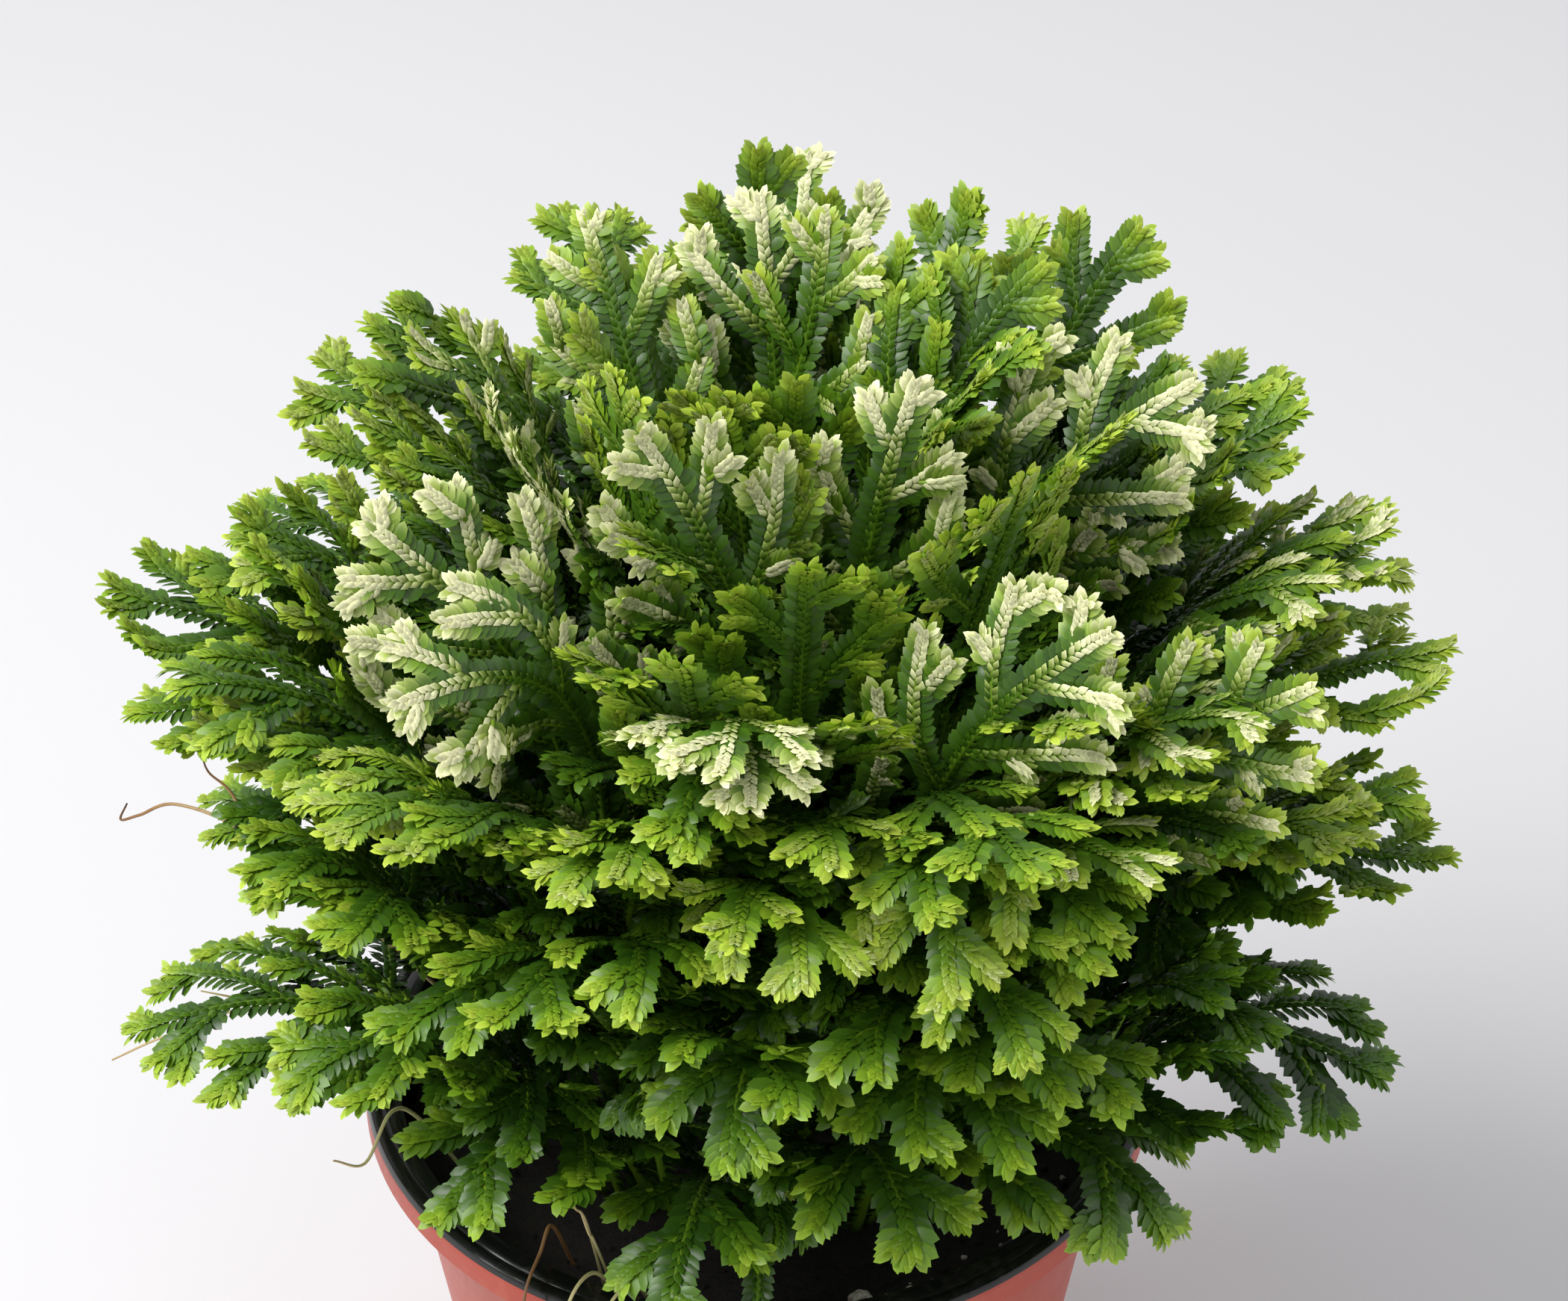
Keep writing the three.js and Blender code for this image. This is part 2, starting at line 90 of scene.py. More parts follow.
def bare_scene():
    """Out of edit mode, with nothing selected, as before each new piece."""
    if bpy.context.object and bpy.context.object.mode != "OBJECT":
        bpy.ops.object.mode_set(mode="OBJECT")
    bpy.ops.object.select_all(action="DESELECT")


def take_up(thing, others=()):
    """Selects a thing to work on, and any others along with it."""
    bare_scene()
    for each in (thing, *others):
        each.select_set(True)
    bpy.context.view_layer.objects.active = thing


def body_radius(share):
    """The outside radius of the tapered body, from its foot (0) to its collar (1)."""
    return BASE_RADIUS + (BODY_TOP_RADIUS - BASE_RADIUS) * share


def skin(inset):
    """The pot's skin at an inward distance from its outside, from the floor out and up to the rim."""
    rings = [
        (CHANNEL_INNER - inset, inset),
        (CHANNEL_INNER + CHANNEL_HEIGHT / 2 - inset, CHANNEL_HEIGHT + inset),
        (CHANNEL_OUTER - CHANNEL_HEIGHT / 2 + inset, CHANNEL_HEIGHT + inset),
        (CHANNEL_OUTER + inset, inset),
        (BASE_RADIUS - FOOT_ROUND - inset / 2, inset),
        (BASE_RADIUS - 0.0006 - inset, 0.0005 + inset / 2),
        (BASE_RADIUS - inset, FOOT_ROUND + inset / 2),
    ]
    for i in range(1, BODY_RINGS + 1):
        share = i / BODY_RINGS
        rings.append((body_radius(share) - inset, FOOT_ROUND + (BODY_TOP_Z - FOOT_ROUND) * share))
    rings += [
        (NECK_RADIUS - 0.0003 - inset, BODY_TOP_Z + COLLAR_STEP),
        (NECK_RADIUS - inset, BODY_TOP_Z + COLLAR_STEP + 0.001),
        (NECK_RADIUS - inset, POT_HEIGHT - RIM_DEPTH),
        (NECK_RADIUS - inset, POT_HEIGHT - WALL - 0.0006),
    ]
    return rings


def rolled_rim():
    """The lip from under its top, down and round its foot, over the flat top with its fine groove."""
    inside = RIM_RADIUS - WALL
    foot = POT_HEIGHT - RIM_DEPTH
    groove = RIM_RADIUS - RIM_WIDTH / 2
    return [
        (inside - 0.0004, POT_HEIGHT - WALL),
        (inside, POT_HEIGHT - WALL - 0.0005),
        (inside, foot + 0.0002),
        (RIM_RADIUS - WALL / 2, foot),
        (RIM_RADIUS, foot + 0.0003),
        (RIM_RADIUS, POT_HEIGHT - 0.0022),
        (RIM_RADIUS, POT_HEIGHT - 0.0012),
        (RIM_RADIUS - 0.0004, POT_HEIGHT - 0.0004),
        (RIM_RADIUS - 0.0012, POT_HEIGHT),
        (groove + 0.0005, POT_HEIGHT),
        (groove, POT_HEIGHT - 0.0003),
        (groove - 0.0005, POT_HEIGHT),
        (NECK_RADIUS + 0.0002, POT_HEIGHT),
        (NECK_RADIUS - WALL + 0.0002, POT_HEIGHT - 0.0003),
    ]


def draw_ring(name, sides, radius, height):
    """A new piece that is so far one ring of edges, selected in edit mode."""
    bare_scene()
    bpy.ops.mesh.primitive_circle_add(
        vertices=sides, radius=radius, location=(0, 0, height), fill_type="NOTHING"
    )
    piece = bpy.context.object
    piece.name = name
    bpy.ops.object.transform_apply()
    bpy.ops.object.mode_set(mode="EDIT")
    bpy.ops.mesh.select_all(action="SELECT")
    return piece


def pull_rings(rings):
    """Extrudes the selected edge loop through the rings, each a radius and a height."""
    radius, height = rings[0]
    for next_radius, next_height in rings[1:]:
        bpy.ops.mesh.extrude_edges_move(
            TRANSFORM_OT_translate={"value": (0, 0, next_height - height)}
        )
        grow = next_radius / radius
        bpy.ops.transform.resize(value=(grow, grow, 1), center_override=(0, 0, next_height))
        radius, height = next_radius, next_height


def cap_ring():
    """Closes the selected ring with triangles that meet in its middle."""
    bpy.ops.mesh.edge_face_add()
    bpy.ops.mesh.poke()


def select_outer_ring(piece, radius):
    """Selects the ring of edges that lies at the radius, the largest so far."""
    bpy.ops.mesh.select_all(action="DESELECT")
    bpy.ops.object.mode_set(mode="OBJECT")
    vertices = piece.data.vertices
    for v in vertices:
        v.select = math.hypot(*v.co.xy) > 0.999 * radius
    for edge in piece.data.edges:
        edge.select = all(vertices[v].select for v in edge.vertices)
    bpy.ops.object.mode_set(mode="EDIT")


def face_outward():
    """Turns every face of the mesh in hand outward, and leaves edit mode."""
    bpy.ops.mesh.select_all(action="SELECT")
    bpy.ops.mesh.normals_make_consistent(inside=False)
    bpy.ops.object.mode_set(mode="OBJECT")


def drill_drains(pot):
    """Holes through the raised ring of the floor."""
    middle = (CHANNEL_INNER + CHANNEL_OUTER) / 2
    for i in range(DRAIN_HOLES):
        turn = 2 * math.pi * i / DRAIN_HOLES
        bare_scene()
        bpy.ops.mesh.primitive_cylinder_add(
            vertices=24,
            radius=DRAIN_RADIUS,
            depth=DRILL_LENGTH,
            location=(middle * math.sin(turn), -middle * math.cos(turn), CHANNEL_HEIGHT),
        )
        drill = bpy.context.object
        take_up(pot)
        cut = pot.modifiers.new("drain", "BOOLEAN")
        cut.operation = "DIFFERENCE"
        cut.object = drill
        bpy.ops.object.modifier_apply(modifier=cut.name)
        bpy.data.objects.remove(drill)


def mould_pot():
    """The floor first, then one wall out and up, over the rim, and back down inside to the floor."""
    rings = skin(0) + rolled_rim() + skin(WALL)[::-1]
    pot = draw_ring("moulded_pot", POT_SIDES, *rings[0])
    cap_ring()
    select_outer_ring(pot, rings[0][0])
    pull_rings(rings)
    cap_ring()
    face_outward()
    drill_drains(pot)
    bpy.ops.object.shade_smooth_by_angle(angle=math.radians(35))
    return pot


def plain_material(name, roughness, coat=0.0, coat_roughness=0.03):
    """A new material, with its node tree and its Principled shader to wire up."""
    material = bpy.data.materials.new(name)
    material.use_nodes = True
    tree = material.node_tree
    shader = tree.nodes["Principled BSDF"]
    shader.inputs["Roughness"].default_value = roughness
    shader.inputs["Coat Weight"].default_value = coat
    shader.inputs["Coat Roughness"].default_value = coat_roughness
    return material, tree, shader


def node(tree, kind, links=None, **settings):
    """Adds a node, sets its properties and wires its inputs, each from a socket or to a value."""
    made = tree.nodes.new(kind)
    for key, value in settings.items():
        setattr(made, key, value)
    for key, value in (links or {}).items():
        if isinstance(value, bpy.types.NodeSocket):
            tree.links.new(value, made.inputs[key])
        else:
            made.inputs[key].default_value = value
    return made


def noise(tree, scale, detail, **more):
    """A cloudy value by the place on the piece."""
    place = node(tree, "ShaderNodeTexCoord")
    links = {"Vector": place.outputs["Object"], "Scale": scale, "Detail": detail, **more}
    return node(tree, "ShaderNodeTexNoise", links).outputs["Fac"]


def combine(tree, operation, *values):
    """A sum worked on values that are each a number or a socket."""
    return node(tree, "ShaderNodeMath", dict(enumerate(values)), operation=operation).outputs[0]


def stretch(tree, value, low=0.0, high=1.0, to_low=0.0, to_high=1.0):
    """A value's range from low to high laid over another range, and held within it."""
    ends = {"From Min": low, "From Max": high, "To Min": to_low, "To Max": to_high}
    return node(tree, "ShaderNodeMapRange", {"Value": value, **ends}).outputs["Result"]


def blend(tree, share, first, second):
    """A colour between two. A Mix node keeps its share at input 0 and its colours at 6 and 7."""
    return node(tree, "ShaderNodeMix", {0: share, 6: first, 7: second}, data_type="RGBA").outputs[2]


def shade_along(tree, value, *stops):
    """The colour at a value along stops, each a position and a colour."""
    made = node(tree, "ShaderNodeValToRGB", {"Fac": value})
    elements = made.color_ramp.elements
    for element, (position, colour) in zip(elements, (stops[0], stops[-1])):
        element.position = position
        element.color = (*colour, 1)
    for position, colour in stops[1:-1]:
        elements.new(position).color = (*colour, 1)
    return made.outputs["Color"]


def emboss(tree, shader, height, strength, distance):
    """A fine relief in the shading, from a height."""
    bump = node(tree, "ShaderNodeBump", {"Height": height, "Strength": strength, "Distance": distance})
    tree.links.new(bump.outputs["Normal"], shader.inputs["Normal"])


def scuff_group():
    """Fine handling marks: a mask of rubbed specks and a small height, by the place on the piece."""
    group = bpy.data.node_groups.new("scuffs", "ShaderNodeTree")
    sockets = group.interface
    for name, direction in (
        ("Scale", "INPUT"), ("Amount", "INPUT"), ("Mask", "OUTPUT"), ("Height", "OUTPUT"),
    ):
        sockets.new_socket(name, in_out=direction, socket_type="NodeSocketFloat")
    given = group.nodes.new("NodeGroupInput")
    result = group.nodes.new("NodeGroupOutput")
    speck = noise(group, given.outputs["Scale"], 5.0)
    both = combine(group, "MULTIPLY", speck, noise(group, 45.0, 3.0))
    worn = stretch(group, both, 0.28, 0.42)
    mask = combine(group, "MULTIPLY", worn, given.outputs["Amount"])
    group.links.new(mask, result.inputs["Mask"])
    group.links.new(speck, result.inputs["Height"])
    return group


def scuff(tree, shader, scale, amount, clean, rubbed, smoothest, roughest, relief):
    """Handling marks on a plastic. Its colour, roughness and relief all follow them."""
    marks = node(tree, "ShaderNodeGroup", {"Scale": scale, "Amount": amount}, node_tree=scuffs)
    colour = blend(tree, marks.outputs["Mask"], clean, rubbed)
    rough = stretch(tree, marks.outputs["Height"], to_low=smoothest, to_high=roughest)
    tree.links.new(colour, shader.inputs["Base Color"])
    tree.links.new(rough, shader.inputs["Roughness"])
    emboss(tree, shader, marks.outputs["Height"], *relief)


def brick_plastic():
    """Brick-red outside skin: satin, a little uneven, with pale rubbed marks."""
    material, tree, shader = plain_material("brick_red_skin", 0.42, coat=0.1, coat_roughness=0.2)
    cloud = noise(tree, 30.0, 4.0)
    red = shade_along(tree, cloud, (0.3, (0.40, 0.045, 0.018)), (0.7, (0.47, 0.060, 0.026)))
    rubbed = (0.56, 0.2, 0.13, 1)
    scuff(tree, shader, 500.0, 0.16, red, rubbed, 0.34, 0.55, relief=(0.08, 0.0004))
    return material


def black_plastic():
    """Gloss black inner skin and rim, with dust and water marks."""
    material, tree, shader = plain_material("gloss_black_skin", 0.25, coat=0.3, coat_roughness=0.1)
    shader.inputs["Specular IOR Level"].default_value = 0.38
    black, dusty = (0.004, 0.004, 0.0045, 1), (0.04, 0.036, 0.032, 1)
    scuff(tree, shader, 700.0, 0.4, black, dusty, 0.10, 0.34, relief=(0.06, 0.0003))
    return material


def is_black(face):
    """Whether a face is on the inside skin, on the floor's upper side or on top of the rim."""
    away, height = math.hypot(*face.center.xy), face.center.z
    share = (height - FOOT_ROUND) / (BODY_TOP_Z - FOOT_ROUND)
    wall = body_radius(min(max(share, 0), 1))
    if height > BODY_TOP_Z + 0.0005:
        wall = NECK_RADIUS
    inside = away < wall - WALL / 2 and height > 0.004
    floor_top = height < 0.004 and face.normal.z > 0.5
    rim = height > POT_HEIGHT - 0.0012 and away > NECK_RADIUS - 2 * WALL
    return inside or floor_top or rim


scuffs = scuff_group()
pot = mould_pot()
pot.data.materials.clear()
pot.data.materials.append(brick_plastic())
pot.data.materials.append(black_plastic())
for face in pot.data.polygons:
    face.material_index = 1 if is_black(face) else 0
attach(pot, "root")
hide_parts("pot")

# ---------------------------------------------------------------------------------------------
# The potting mix. Dark fibrous peat, lumpy on top and pressed against the wall, with crumbs of
# peat and of crushed white perlite lying on it.
# ---------------------------------------------------------------------------------------------
SOIL_Z = 0.081
SOIL_LUMP = 0.0008
SOIL_GRIT = 0.00035
SOIL_RINGS = 24
SOIL_FOOT_Z = 0.0045
CRUMBS = 420
WHITE_CRUMBS = 60
mix_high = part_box("potting_mix")[1]
SOIL_RADIUS = mix_high.x - 0.0002


def soil_height(x, y):
    return SOIL_Z + SOIL_LUMP * np.sin(x / 0.009) * np.cos(y / 0.008)


def fill_mix():
    """The lumpy top from the wall inward, then the side from the same ring down to the foot."""
    mix = draw_ring("peat_mix", 96, SOIL_RADIUS, SOIL_Z)
    pull_rings([(SOIL_RADIUS * (1 - i / SOIL_RINGS), SOIL_Z) for i in range(SOIL_RINGS)])
    cap_ring()
    select_outer_ring(mix, SOIL_RADIUS)
    foot_radius = BASE_RADIUS - WALL - 0.0006
    pull_rings([(SOIL_RADIUS, SOIL_Z), (foot_radius, SOIL_FOOT_Z), (foot_radius * 0.5, SOIL_FOOT_Z)])
    cap_ring()
    face_outward()
    rng = np.random.default_rng(4)
    for v in mix.data.vertices:
        away = math.hypot(*v.co.xy) / SOIL_RADIUS
        if v.co.z > SOIL_Z - 1e-4 and away < 0.995:
            v.co.z = float(soil_height(v.co.x, v.co.y)) + float(rng.normal(0, SOIL_GRIT))
    bpy.ops.object.shade_smooth()
    return mix


def peat():
    """Near-black damp fibre with paler brown bits."""
    material, tree, shader = plain_material("wet_peat", 0.7)
    fibre = noise(tree, 900.0, 8.0, Roughness=0.7)
    brown = shade_along(tree, fibre, (0.35, (0.002, 0.0015, 0.0012)), (0.75, (0.026, 0.017, 0.011)))
    tree.links.new(brown, shader.inputs["Base Color"])
    emboss(tree, shader, fibre, 0.8, 0.001)
    return material


def puffed_mineral():
    """White pitted perlite, stained by the peat in places."""
    material, tree, shader = plain_material("puffed_mineral", 0.8)
    place = node(tree, "ShaderNodeTexCoord")
    pits = node(tree, "ShaderNodeTexVoronoi", {"Vector": place.outputs["Object"], "Scale": 2200.0})
    dirt = noise(tree, 700.0, 6.0)
    white = shade_along(tree, dirt, (0.38, (0.34, 0.28, 0.21)), (0.6, (0.82, 0.80, 0.75)))
    tree.links.new(white, shader.inputs["Base Color"])
    emboss(tree, shader, pits.outputs["Distance"], 0.7, 0.0003)
    return material


def scatter_crumbs(mix):
    """Crumbs on the mix: one is modelled, and copied about at many sizes. Most are peat, and some near
    the wall at the right are crushed perlite."""
    bare_scene()
    bpy.ops.mesh.primitive_ico_sphere_add(subdivisions=1, radius=0.001)
    crumb = bpy.context.object
    shape = np.random.default_rng(11).uniform(0.65, 1.1, len(crumb.data.vertices))
    for v, pull in zip(crumb.data.vertices, shape):
        v.co *= float(pull)
    rng = np.random.default_rng(12)
    copies = []
    for i in range(CRUMBS):
        away = SOIL_RADIUS * math.sqrt(rng.uniform(0.12, 0.93))
        turn = rng.uniform(0, 2 * math.pi)
        size = rng.uniform(0.25, 1.0) ** 1.6
        white = i >= CRUMBS - WHITE_CRUMBS
        if white:
            away = SOIL_RADIUS * rng.uniform(0.84, 0.97)
            turn = math.radians(rng.normal(-68, 20))
            size = rng.uniform(0.2, 0.75)
        x, y = away * math.cos(turn), away * math.sin(turn)
        copied = crumb.copy()
        copied.data = crumb.data.copy()
        copied.data.materials.append(mineral if white else wet_peat)
        bpy.context.scene.collection.objects.link(copied)
        copied.location = (x, y, float(soil_height(x, y)) + 0.0003 * size)
        copied.rotation_euler = rng.uniform(0, 6.28, 3)
        copied.scale = (size * rng.uniform(0.7, 1.3), size, size * rng.uniform(0.6, 1.0))
        copies.append(copied)
    bpy.data.objects.remove(crumb)
    take_up(mix, copies)
    bpy.ops.object.join()


wet_peat = peat()
mineral = puffed_mineral()
mix = fill_mix()
mix.data.materials.append(wet_peat)
scatter_crumbs(mix)
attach(mix, "root")
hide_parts("potting_mix")

# ---------------------------------------------------------------------------------------------
# The shoots. Each is a flat, forking frond of the moss on a green stem that rises from the mix
# and arches over the mound. Its branchlets carry four rows of leaves: two flat rows that spread
# sideways, and two rows of small ones that lie along the top like a plait. One leaf of each kind
# is modelled, and set along every branchlet.
# ---------------------------------------------------------------------------------------------
MM = 0.001
MOUND_RADIUS = 95.0
MOUND_FLATNESS = 0.97
MOUND_MIDDLE = np.array([4.0, 0.0, 132.0])
FOOT_SHARE = 0.36
FOOT_GAP = 0.6
FORK = 0.42
RISE = 0.5
REACH_BACK = 0.38
DROOP = 0.009
UP = -20
OUT = 85
FRONT = "front"
FRONT_TILT = 54


class Frond(NamedTuple):
    """How one frond stands. Its length and half width are shares of the mound's radius."""

    name: str
    tilt: float  # of its tip on the mound
    azimuth: float
    reach: float  # of its tip, 1 on the mound's surface
    grow_tilt: float  # of the way that it grows at its tip
    grow_azimuth: float
    facing: float  # tilt of the way that its upper side faces, or FRONT
    length: float
    half_width: float
    tint: str
    parent: str = None  # the shoot that it forks from, if any


SHOOTS = [Frond(*row) for row in (
    ("crown_back", 19, 186, 1.06, 13, 186, UP, 0.42, 0.14, "green"),
    ("crown_frost", 16, 187, 1.0, 18, 200, FRONT, 0.42, 0.17, "frost"),
    ("crown_right", 26, 142, 1.02, 38, 142, UP, 0.34, 0.11, "green"),
    ("crown_left", 21, 230, 1.03, 37, 213, FRONT, 0.38, 0.11, "cream"),
    ("upper_right", 38, 127, 1.06, 46, 121, FRONT, 0.46, 0.17, "green"),
    ("centre_frost", 20, 324, 0.98, 34, 258, FRONT, 0.36, 0.15, "frost"),
    ("centre_top", 13, 338, 0.96, 20, 348, OUT, 0.38, 0.14, "lime"),
    ("centre_fan", 16, 38, 0.99, 14, 80, FRONT, 0.40, 0.11, "frost"),
    ("top_right", 23, 112, 1.0, 50, 110, FRONT, 0.40, 0.14, "green"),
    ("arch_right", 34, 88, 1.0, 62, 98, FRONT, 0.44, 0.19, "frost"),
    ("lime_right", 29, 62, 1.0, 48, 60, UP, 0.40, 0.18, "lime", "arch_right"),
    ("lime_front", 28, 40, 1.03, 21, 35, OUT, 0.46, 0.18, "lime"),
    ("green_front", 29, 3, 0.97, 14, 7, OUT, 0.44, 0.17, "green"),
    ("braid_front", 41, 36, 1.07, 47, 69, FRONT, 0.42, 0.15, "frost"),
    ("frost_right", 52, 54, 1.07, 55, 76, FRONT, 0.44, 0.16, "cream"),
    ("cream_right", 52, 49, 1.03, 78, 60, UP, 0.40, 0.17, "cream", "frost_right"),
    ("right_high", 47, 99, 1.02, 70, 99, UP, 0.44, 0.17, "green"),
    ("right_cream", 57, 90, 1.03, 75, 88, UP, 0.44, 0.19, "cream"),
    ("right_mid", 66, 84, 1.04, 84, 88, UP, 0.46, 0.16, "lime"),
    ("right_low", 83, 77, 0.98, 99, 80, UP, 0.42, 0.16, "green"),
    ("right_lime", 72, 65, 0.93, 102, 66, UP, 0.34, 0.14, "lime", "right_low"),
    # This fan's dark tint paints the shade on its undersides.
    ("right_open_fan", 95, 62, 0.96, 110, 67, UP, 0.50, 0.23, "dark"),
    ("front_right", 64, 31, 0.91, 101, 34, UP, 0.38, 0.15, "green"),
    ("lime_low_right", 56, 21, 1.04, 93, 24, UP, 0.33, 0.13, "green", "front_right"),
    ("front_right_low", 80, 26, 0.84, 106, 25, UP, 0.37, 0.15, "deep"),
    ("droop_right", 108, 43, 0.84, 128, 42, UP, 0.38, 0.16, "deep"),
    ("droop_front", 106, 14, 0.74, 130, 12, UP, 0.36, 0.15, "deep"),
    ("front_cream", 63, 1, 0.90, 102, 2, UP, 0.35, 0.14, "lime"),
    ("front_low", 84, 354, 0.80, 112, 354, UP, 0.36, 0.15, "deep", "front_cream"),
    ("droop_left", 114, 346, 0.80, 130, 344, UP, 0.40, 0.12, "deep"),
    ("droop_left_rim", 104, 322, 0.82, 128, 322, UP, 0.38, 0.15, "deep"),
    ("lime_left", 71, 333, 0.90, 102, 331, UP, 0.37, 0.17, "green"),
    ("edge_front", 56, 343, 0.93, 95, 345, UP, 0.33, 0.11, "lime", "lime_left"),
    ("edge_left", 59, 317, 1.02, 93, 313, UP, 0.36, 0.15, "lime"),
    ("centre_green", 38, 347, 0.97, 25, 349, OUT, 0.38, 0.13, "green"),
    ("centre_hanging", 47, 353, 1.0, 100, 350, UP, 0.34, 0.16, "frost", "centre_green"),
    ("frost_left", 39, 293, 0.97, 50, 264, FRONT, 0.48, 0.19, "frost"),
    ("frost_left_low", 48, 318, 1.02, 92, 306, FRONT, 0.36, 0.15, "frost"),
    ("left_fan", 17, 308, 1.00, 11, 297, OUT, 0.35, 0.11, "lime"),
    ("left_high_green", 38, 250, 1.02, 58, 246, UP, 0.40, 0.18, "green"),
    ("left_high", 32, 263, 1.0, 70, 263, UP, 0.33, 0.12, "cream", "left_high_green"),
    ("far_left", 67, 266, 1.07, 85, 265, UP, 0.51, 0.19, "green"),
    ("far_left_cream", 59, 290, 1.04, 82, 282, UP, 0.44, 0.21, "green"),
    ("left_green", 49, 279, 1.01, 75, 275, UP, 0.44, 0.17, "green", "far_left_cream"),
    ("left_open_fan", 98, 286, 1.0, 108, 279, UP, 0.46, 0.22, "green"),
    ("left_rim", 91, 308, 0.88, 115, 305, UP, 0.36, 0.16, "green"),
    ("left_low", 70, 302, 0.92, 98, 296, UP, 0.36, 0.15, "green", "left_rim"),
    ("back_high", 32, 176, 1.03, 54, 174, UP, 0.44, 0.17, "frost"),
    ("back_high_left", 43, 208, 1.02, 60, 208, UP, 0.44, 0.19, "green", "back_high"),
    ("back_high_right", 46, 148, 1.02, 65, 148, UP, 0.44, 0.19, "lime"),
    ("back_right", 56, 118, 1.02, 75, 118, UP, 0.44, 0.19, "green", "back_high_right"),
    ("back_middle", 60, 180, 1.02, 82, 180, UP, 0.44, 0.20, "cream"),
    ("back_low", 88, 172, 0.98, 104, 172, UP, 0.42, 0.18, "green", "back_middle"),
    ("back_left", 57, 235, 1.02, 78, 236, UP, 0.44, 0.19, "lime"),
    ("back_low_left", 75, 238, 1.02, 95, 240, UP, 0.44, 0.19, "green", "back_left"),
    ("back_low_middle", 76, 206, 1.02, 95, 206, UP, 0.44, 0.19, "lime"),
    ("back_droop_left", 108, 222, 0.88, 122, 222, UP, 0.38, 0.16, "green", "back_low_middle"),
    ("back_low_right", 75, 138, 1.02, 95, 138, UP, 0.44, 0.19, "green"),
    ("back_droop", 110, 150, 0.86, 124, 150, UP, 0.38, 0.16, "dark", "back_low_right"),
    ("back_side_right", 72, 106, 1.02, 92, 106, UP, 0.44, 0.18, "lime"),
    ("back_droop_right", 106, 118, 0.90, 120, 118, UP, 0.38, 0.16, "green", "back_side_right"),
    ("back_droop_middle", 112, 186, 0.84, 124, 186, UP, 0.38, 0.17, "green"),
    ("back_side_left", 98, 254, 0.95, 112, 256, UP, 0.40, 0.17, "green"),
)]

